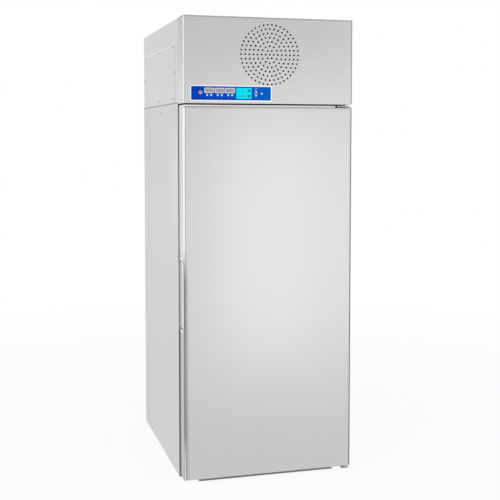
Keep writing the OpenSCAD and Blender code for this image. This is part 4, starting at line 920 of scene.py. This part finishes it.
class CHILLER_OT_display_marks(bpy.types.Operator):
    """Sets the digit segments behind the small displays and the marks on the large one"""

    bl_idname = "chiller.display_marks"
    bl_label = "Display marks"

    def execute(self, context):
        size = context.scene.chiller_panel
        film = size.film
        digit_h, digit_w, digit_pitch, bar = 13 * MM, 7.5 * MM, 11.5 * MM, 1.5 * MM
        led_x, led_z = led_middles(size)
        upright, flat = [], []
        for window_x in led_x:
            for digit in (-1, 0, 1):
                x = window_x + digit * digit_pitch
                flat += [facing(x, led_z + level * (digit_h - bar) / 2) for level in (-1, 0, 1)]
                for side in SIDES:
                    edge_x = x + side * (digit_w - bar) / 2
                    upright += [facing(edge_x, led_z + level * (digit_h - bar) / 4) for level in SIDES]
        parts = [
            copies(plate(digit_w - 2.2 * bar, bar, bar * 0.45, film), flat),
            copies(plate(bar, digit_h / 2 - 1.5 * bar, bar * 0.45, film), upright),
        ]
        finished(joined(parts), "led_segments", "hood", "segments")

        left, right, top, low = WINDOWS[1].x - size.lcd_w, WINDOWS[1].x, WINDOWS[1].z, WINDOWS[0].z
        tick_x = [left + (9 + 8.5 * i) * MM for i in range(5)]
        spots = [facing(right - 12 * MM, z) for z in (top - 13 * MM, low + 13 * MM)]
        parts = [
            copies(plate(4.2 * MM, 1.5 * MM, 0.6 * MM, film), [facing(x, top - 13 * MM) for x in tick_x]),
            copies(plate(1.5 * MM, 5 * MM, 0.6 * MM, film), [facing(tick_x[i], top - 18 * MM) for i in (0, 2, 3)]),
            copies(ring(4.6 * MM, 1.8 * MM, film), spots),
            copies(plate(46 * MM, 1.0 * MM, 0.4 * MM, film), [facing(left + 27 * MM, low + z * MM) for z in (9, 14)]),
        ]
        finished(joined(parts), "lcd_marks", "hood", "lcd_marks")
        boxes = copies(plate(15 * MM, 13 * MM, 2 * MM, film / 2), spots)
        finished(boxes, "lcd_boxes", "hood", "lcd_boxes")
        return {"FINISHED"}


class CHILLER_OT_key_symbols(bpy.types.Operator):
    """Prints the on/off sign on the power key and the ring on the round entry key"""

    bl_idname = "chiller.key_symbols"
    bl_label = "Key symbols"

    def execute(self, context):
        film = context.scene.chiller_panel.film
        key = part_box("key_power")
        power, front = middle(key), key[0].y
        parts = [
            copies(ring(3.5 * MM, 0.9 * MM, film, math.radians(60)), [facing(power.x, power.z, front)]),
            copies(plate(0.9 * MM, 3.6 * MM, 0.4 * MM, film), [facing(power.x, power.z + 2.0 * MM, front)]),
        ]
        finished(joined(parts), "power_sign", "key_power", "print_red")
        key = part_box("key_enter")
        enter, front = middle(key), key[0].y
        mark = copies(ring(3.2 * MM, 0.8 * MM, film), [facing(enter.x, enter.z, front)])
        finished(mark, "enter_sign", "key_enter", "segments")
        return {"FINISHED"}


def screw_centres():
    """The middles of the screws on one side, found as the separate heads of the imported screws."""
    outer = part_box("panel_screws")[1].x - 0.1 * MM
    verts = [vert.co for vert in frame["nodes"]["panel_screws"].data.vertices if vert.co.x > outer]
    return [
        [(min(v[axis] for v in head) + max(v[axis] for v in head)) / 2 for axis in (1, 2)]
        for head in clusters(verts, 12 * MM)
    ]


class CHILLER_OT_casing_screws(bpy.types.Operator):
    """Replaces the plain screws of the access panels by pan heads with a cross recess"""

    bl_idname = "chiller.casing_screws"
    bl_label = "Casing screws"

    def execute(self, context):
        size = context.scene.chiller_fixings
        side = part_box("access_panels")[1].x - 0.05 * MM
        places = []
        for i, (y, z) in enumerate(screw_centres()):
            for sign in SIDES:
                turn = Matrix.Rotation(math.radians(37 * i + 15 * sign), 4, "Z")
                places.append(sideward(sign * side, y, z) @ turn)
        heads = copies(cross_screw(size.screw_d, size.screw_h * 0.9), places)
        finished(heads, "casing_screws", "cabinet", "zinc_screw")
        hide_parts("panel_screws")
        return {"FINISHED"}


class CHILLER_OT_seam_sealant(bpy.types.Operator):
    """Lays a grey bead of sealant in the step between the cabinet's sides and the machine module"""

    bl_idname = "chiller.seam_sealant"
    bl_label = "Seam sealant"

    def execute(self, context):
        height = context.scene.chiller_fixings.bead_h
        lo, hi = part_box("side_panels")
        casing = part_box("casing_sides")[1].x
        inside, outside = casing - 0.5 * MM, hi.x - 0.1 * MM
        beads = []

        def outer_edge(place, along):
            return abs(along.y) > 0.9 and abs(place.x) > casing and place.z > hi.z + height / 2

        for sign in SIDES:
            bead = block(
                (sign * (inside + outside) / 2, (lo.y + hi.y) / 2, hi.z + height / 2),
                (outside - inside, hi.y - lo.y - 2 * MM, height),
            )
            beads.append(round_edges(bead, outer_edge, 1.2 * MM, 4))
        finished(joined(beads), "seam_sealant", "cabinet", "sealant")
        return {"FINISHED"}


class CHILLER_OT_hinge_bolts(bpy.types.Operator):
    """Bolts the door's hinge plates to the frame, and sets the packer beside the upper plate"""

    bl_idname = "chiller.hinge_bolts"
    bl_label = "Hinge bolts"

    def execute(self, context):
        size = context.scene.chiller_fixings
        lo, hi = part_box("hinge_brackets")
        flange_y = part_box("door_frame")[0].y - 4 * MM
        heads = [upward(lo.x + (11 + 17 * i) * MM, lo.y + (26 + 14 * (i % 2)) * MM, hi.z) for i in range(3)]
        heads += [upward(lo.x + (13 + 30 * i) * MM, hi.y - 22 * MM, hi.z) for i in range(2)]
        heads += [facing(hi.x - 17 * MM, z * MM, flange_y) for z in (30, 54)]
        bolts = copies(hex_bolt(size.bolt_d, 3.4 * MM), heads)
        finished(bolts, "hinge_bolts", "cabinet", "dark_steel")
        packer = block((lo.x - 8 * MM, flange_y - 28 * MM, hi.z - 0.5 * MM), (12 * MM, 64 * MM, 11 * MM))
        edit(packer)
        everything()
        bpy.ops.mesh.bevel(offset=1 * MM, segments=2)
        pick(packer, "faces", lambda m, n: n.z > 0.99)
        inset(2 * MM, -3 * MM)
        finished(packer, "hinge_packer", "cabinet", "black_plastic")
        return {"FINISHED"}


class CHILLER_OT_door_trim(bpy.types.Operator):
    """Caps the door's upper edge with a pale strip, in front short of the hinge and along the left side"""

    bl_idname = "chiller.door_trim"
    bl_label = "Door trim"

    def execute(self, context):
        height, width = context.scene.chiller_fixings.trim_h, 14 * MM
        left, right = DOOR[0].x + 3 * MM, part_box("hinge_brackets")[0].x - 16 * MM
        y, z = DOOR[0].y + 0.5 * MM, DOOR[1].z
        level, crest = z + height / 2, z + height * 0.9
        strip = block(((left + right) / 2, y + width / 2, level), (right - left, width, height))
        round_edges(strip, lambda m, n: m.z > crest and m.y < y + 1 * MM and abs(n.x) > 0.9, height * 0.4, 4)
        side = block(
            (DOOR[0].x + 7.5 * MM, (DOOR[0].y + DOOR[1].y) / 2 + 1 * MM, level),
            (width, DOOR[1].y - DOOR[0].y - 12 * MM, height),
        )
        round_edges(side, lambda m, n: m.z > crest and m.x < DOOR[0].x + 2 * MM and abs(n.y) > 0.9, height * 0.4, 4)
        finished(joined([strip, side]), "door_trim", "door", "trim")
        return {"FINISHED"}


class CHILLER_OT_pressed_cover(bpy.types.Operator):
    """Replaces the flat top cover by one with two panels pressed into it to stiffen it"""

    bl_idname = "chiller.pressed_cover"
    bl_label = "Pressed cover"

    def execute(self, context):
        size = context.scene.chiller_fixings
        lo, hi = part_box("top_cover")
        margin, rib = 0.05, 0.01
        cover = block((lo + hi) / 2, hi - lo)
        edit(cover)
        everything()
        bpy.ops.mesh.bisect(plane_co=(0, 0, hi.z), plane_no=(1, 0, 0))
        pick(cover, "faces", lambda m, n: abs(n.z) > 0.9)
        inset(size.press_edge, use_individual=True)
        inset(2 * size.press_depth, -size.press_depth, use_individual=True)
        pick(cover, "edges", lambda m, n: (
            abs(n.z) < 0.1 and lo.x + margin < m.x < hi.x - margin and abs(m.x) > rib
            and lo.y + margin < m.y < hi.y - margin and m.z < lo.z
        ))
        bpy.ops.mesh.bevel(offset=size.press_depth * 0.4, segments=2)
        finished(cover, "pressed_cover", "cabinet", "outer_steel_x")
        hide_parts("top_cover")
        return {"FINISHED"}


def louvre_slots():
    """The middle of each louvre in the module's back sheet, found by the level lower side of its slot."""
    lo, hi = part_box("casing_back")
    sills = [
        face.center for face in frame["nodes"]["casing_back"].data.polygons
        if lo.z + 5 * MM < face.center.z < hi.z - 5 * MM and face.normal.z > 0.99 and face.area > 6e-5
    ]
    return [sum(group, Vector()) / len(group) for group in clusters(sills, 80 * MM)]


class CHILLER_OT_louvre_hoods(bpy.types.Operator):
    """Forms a rain hood over each louvre of the module's back"""

    bl_idname = "chiller.louvre_hoods"
    bl_label = "Louvre hoods"

    def execute(self, context):
        size = context.scene.chiller_fixings
        slots = louvre_slots()
        if not slots:
            raise RuntimeError("the back sheet has no louvres")
        back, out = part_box("casing_back")[1].y, size.louvre_out
        hood = block((0, 6 * MM, out / 2), (size.louvre_w, 14 * MM, out))
        round_edges(hood, lambda m, n: m.z > out * 0.9 and m.y > -1 * MM, out * 0.6, 3)
        edit(hood)
        pick(hood, "faces", lambda m, n: n.y < -0.9 or n.z < -0.9)
        bpy.ops.mesh.delete(type="FACE")
        leave()
        wall = hood.modifiers.new("wall", "SOLIDIFY")
        wall.thickness, wall.offset = 1 * MM, -1
        bpy.ops.object.modifier_apply(modifier="wall")
        upside_down = Matrix.Rotation(math.pi, 4, "Z")
        places = [backward(spot.x, spot.z + 2 * MM, back) @ upside_down for spot in slots]
        finished(copies(hood, places), "louvre_hoods", "cabinet", "galvanised")
        return {"FINISHED"}


class CHILLER_OT_rivets(bpy.types.Operator):
    """Rivets the back sheets, the side panels and the fan motors' arms"""

    bl_idname = "chiller.rivets"
    bl_label = "Rivets"

    def execute(self, context):
        size = context.scene.chiller_fixings
        module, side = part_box("casing_back"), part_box("side_panels")[1]
        column, margin = module[1].x - 14 * MM, 40 * MM
        places = []
        for (lo, hi), rows in ((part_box("back_panel"), 7), (module, 3)):
            low, high = lo.z + margin, hi.z - margin
            for i in range(rows):
                z = low + (high - low) * i / (rows - 1)
                places += [backward(sign * column, z, hi.y) for sign in SIDES]
        places += [sideward(sign * side.x, side.y - size.side_rivet_y, side.z - size.side_rivet_z) for sign in SIDES]
        heads = copies(rivet(size.rivet_d, size.rivet_h), places)
        finished(heads, "sheet_rivets", "cabinet", "zinc_screw")
        arm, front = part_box("fan_motors")[1].x - 2 * MM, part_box("fan_guards")[1].y
        fan_z = [middle(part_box("chamber_fan_" + name)).z for name in ("low", "mid", "top")]
        places = [facing(sx * arm, z + sz * arm, front) for z in fan_z for sx in SIDES for sz in SIDES]
        heads = copies(rivet(size.rivet_d, size.rivet_h), places)
        finished(heads, "motor_rivets", "fan_panel", "zinc_screw")
        return {"FINISHED"}


class CHILLER_OT_pipe_fittings(bpy.types.Operator):
    """Adds flare nuts, the suction line's sleeve and the condenser's tube bends"""

    bl_idname = "chiller.pipe_fittings"
    bl_label = "Pipe fittings"

    def execute(self, context):
        size = context.scene.chiller_fixings
        receiver, port_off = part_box("receiver"), 22 * MM
        tank, tank_top = middle(receiver), receiver[1].z
        ports = [upward(tank.x + sign * port_off, tank.y, tank_top - 6 * MM) for sign in SIDES]
        finished(copies(flare_nut(17 * MM, 22 * MM), ports), "flare_nuts", "cabinet", "brass")

        lo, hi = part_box("condenser_coil")
        radius, half = 5 * MM, 12.5 * MM
        x, turns = hi.x - 1 * MM, []
        out = x + half + 2 * MM
        for i in range(size.bend_count):
            z = lo.z + (hi.z - lo.z) * (i + 0.7) / (size.bend_count + 0.4)
            y = (lo.y + hi.y) / 2 + (6 if i % 2 else -6) * MM
            points = [(x, y - half, z), (out, y - half, z), (out, y + half, z), (x, y + half, z)]
            turns.append(tube_run(points, radius, half, 12))
        finished(joined(turns), "condenser_bends", "cabinet", "copper")

        pipes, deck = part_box("refrigerant_pipes"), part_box("machine_deck")[1].z
        x, y = pipes[0].x + 11 * MM, pipes[1].y - 11 * MM
        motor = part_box("compressor")
        port_x, port_z = middle(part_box("compressor_feet")).x, middle(motor).z + 7.5 * MM
        port_y = motor[1].y + 16 * MM
        points = [(x, y, deck), (x, y, port_z), (port_x, y, port_z), (port_x, port_y, port_z)]
        sleeve_bend = 27 * MM
        finished(tube_run(points, size.sleeve_r, sleeve_bend, 20), "suction_sleeve", "cabinet", "seal")
        return {"FINISHED"}


class CHILLER_OT_wiring(bpy.types.Operator):
    """Lays the cables of the mains and of the compressor on the deck, and screws the electrical box's lid down"""

    bl_idname = "chiller.wiring"
    bl_label = "Wiring"

    def execute(self, context):
        size = context.scene.chiller_fixings
        lo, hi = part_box("electrical_box")
        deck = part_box("machine_deck")[1].z + 9 * MM
        entry_y, entry_z = hi.y - 4 * MM, lo.z + 60 * MM
        down = entry_y + 34 * MM

        def from_box(x):
            """The first points of a cable: out of the box at x, and down to the deck."""
            return [(x, entry_y, entry_z), (x, down, entry_z), (x, down, deck)]

        near, away = lo.x + 37 * MM, hi.x - 37 * MM
        gland_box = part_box("mains_gland")
        gland, inside = middle(gland_box), gland_box[0].y
        cross_y, rise_y, end_y = inside - 0.12, inside - 0.04, inside + 2 * MM
        mains = from_box(near) + [
            (near, cross_y, deck), (gland.x, cross_y, deck), (gland.x, rise_y, deck),
            (gland.x, rise_y, gland.z), (gland.x, end_y, gland.z),
        ]
        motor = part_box("compressor")
        motor_y = middle(motor).y
        side, plug_z = motor[1].x + 24 * MM, motor[0].z + 150 * MM
        pass_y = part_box("receiver")[1].y + 16 * MM
        power = from_box(away) + [
            (away, pass_y, deck), (side, pass_y, deck), (side, pass_y, plug_z),
            (side, motor_y, plug_z), (motor[1].x - 1 * MM, motor_y, plug_z),
        ]
        runs = [tube_run(points, size.cable_r, 2 * size.cable_r, 10) for points in (mains, power)]
        finished(joined(runs), "cables", "cabinet", "black_plastic")
        lid = hi.z - 9 * MM
        places = [facing(x, lid, lo.y) for x in (lo.x + 20 * MM, hi.x - 20 * MM)]
        places += [sideward(hi.x, y, lid) for y in (lo.y + 20 * MM, hi.y - 34 * MM)]
        finished(copies(cross_screw(7 * MM, 2 * MM), places), "lid_screws", "cabinet", "zinc_screw")
        return {"FINISHED"}


class CHILLER_OT_stage(bpy.types.Operator):
    """Makes the floor, the lights, the surround and the camera"""

    bl_idname = "chiller.stage"
    bl_label = "Stage"

    def execute(self, context):
        stage, scene = context.scene.chiller_stage, context.scene
        deselect()
        bpy.ops.mesh.primitive_plane_add(size=60, location=(0, 0, -0.0005))
        floor = bpy.context.object
        floor.name = "floor"
        net = new_net("floor")
        far = net.step(net.length(net.node("ShaderNodeTexCoord", output="Object")), 1.2, 5.0)
        matt = net.node("ShaderNodeBsdfDiffuse", {}, {"Color": tuple(stage.floor)})
        white = net.node("ShaderNodeEmission", {}, {"Color": (1, 1, 1), "Strength": 1.0})
        shown = net.either(net.ray("Camera"), net.ray("Glossy")) * (0.91 + 0.09 * far)
        mixed = net.node("ShaderNodeMixShader", {}, {0: shown, 1: matt, 2: white})
        net.node("ShaderNodeOutputMaterial", {}, {"Surface": mixed})
        floor.data.materials.append(net.owner)

        world = scene.world or bpy.data.worlds.new("studio")
        scene.world = world
        net = Net(world)
        to = net.node("ShaderNodeTexCoord", output="Generated")

        def lobe(direction, start, end):
            """1 towards a direction, fading to 0."""
            d = Vector(direction).normalized()
            dot = net.node("ShaderNodeVectorMath", {"operation": "DOT_PRODUCT"}, {0: to, 1: tuple(d)}, output="Value")
            return net.step(dot, start, end)

        height = net.axis("Z", "Generated")
        left = lobe((-1, 0.05, 0.1), 0.45, 0.95) * net.fade(height, 0.06, 0.14)
        front = lobe((-0.55, -0.85, 0.0), 0.8, 0.99)
        right = lobe((0.95, 0.3, 0.0), 0.25, 0.85)
        above = net.step(height, -0.02, 0.45)
        mirrored = 0.97 + 0.42 * left - 0.4 * front - 0.35 * right - 0.36 * above
        glossy = net.ray("Glossy")
        plain = net.either(net.ray("Camera"), net.ray("Transmission"))
        level = plain + (1 - plain) * (glossy * mirrored + (1 - glossy) * stage.world)
        grey = net.node("ShaderNodeCombineColor", {}, {0: level, 1: level, 2: level})
        back = net.node("ShaderNodeBackground", {}, {"Color": grey, "Strength": 1.0})
        net.node("ShaderNodeOutputWorld", {}, {"Surface": back})

        for name, power, place, size in (
            ("key_light", stage.key_power, (-3.2, -3.0, 3.4), (2.2, 2.2)),
            ("fill_light", stage.fill_power, (3.4, -2.6, 2.4), (2.0, 2.4)),
            ("door_light", stage.door_power, (1.0, -3.3, 0.9), (1.5, 2.0)),
        ):
            lamp = bpy.data.lights.new(name, "AREA")
            lamp.shape, lamp.size, lamp.size_y, lamp.energy = "RECTANGLE", size[0], size[1], power
            holder = bpy.data.objects.new(name, lamp)
            scene.collection.objects.link(holder)
            holder.location = place
            holder.rotation_euler = (Vector((0, 0, 1.1)) - Vector(place)).to_track_quat("-Z", "Y").to_euler()
            holder.visible_camera = False

        lens = bpy.data.cameras.new("camera")
        lens.lens, lens.sensor_width, lens.shift_y = stage.lens, 36.0, stage.shift_y
        lens.clip_start, lens.clip_end = 0.05, 100
        camera = bpy.data.objects.new("camera", lens)
        scene.collection.objects.link(camera)
        camera.location = stage.camera
        camera.rotation_euler = (math.pi / 2 + stage.pitch, 0, stage.yaw)
        scene.camera = camera
        scene.view_settings.view_transform = "Standard"
        return {"FINISHED"}


# ---------------------------------------------------------------- add-on


GROUPS = {
    "chiller_finish": ChillerFinish,
    "chiller_panel": ChillerPanel,
    "chiller_fixings": ChillerFixings,
    "chiller_stage": ChillerStage,
}
OPERATORS = [
    CHILLER_OT_finishes,
    CHILLER_OT_overlay_print,
    CHILLER_OT_display_marks,
    CHILLER_OT_key_symbols,
    CHILLER_OT_casing_screws,
    CHILLER_OT_seam_sealant,
    CHILLER_OT_hinge_bolts,
    CHILLER_OT_door_trim,
    CHILLER_OT_pressed_cover,
    CHILLER_OT_louvre_hoods,
    CHILLER_OT_rivets,
    CHILLER_OT_pipe_fittings,
    CHILLER_OT_wiring,
    CHILLER_OT_stage,
]


class CHILLER_PT_build(bpy.types.Panel):
    """Lists the steps that dress the chiller"""

    bl_idname = "CHILLER_PT_build"
    bl_label = "Blast chiller"
    bl_space_type = "VIEW_3D"
    bl_region_type = "UI"
    bl_category = "Chiller"

    def draw(self, context):
        for step in OPERATORS:
            self.layout.operator(step.bl_idname)
        for name in GROUPS:
            group = getattr(context.scene, name)
            box = self.layout.box()
            for key in group.bl_rna.properties.keys():
                if key not in ("rna_type", "name"):
                    box.prop(group, key)


def register():
    for cls in [*GROUPS.values(), *OPERATORS, CHILLER_PT_build]:
        bpy.utils.register_class(cls)
    for name, cls in GROUPS.items():
        setattr(bpy.types.Scene, name, bpy.props.PointerProperty(type=cls))


def unregister():
    for name in GROUPS:
        delattr(bpy.types.Scene, name)
    for cls in reversed([*GROUPS.values(), *OPERATORS, CHILLER_PT_build]):
        bpy.utils.unregister_class(cls)


def main():
    register()
    for step in OPERATORS:
        area, name = step.bl_idname.split(".")
        getattr(getattr(bpy.ops, area), name)()


if __name__ == "__main__":
    main()
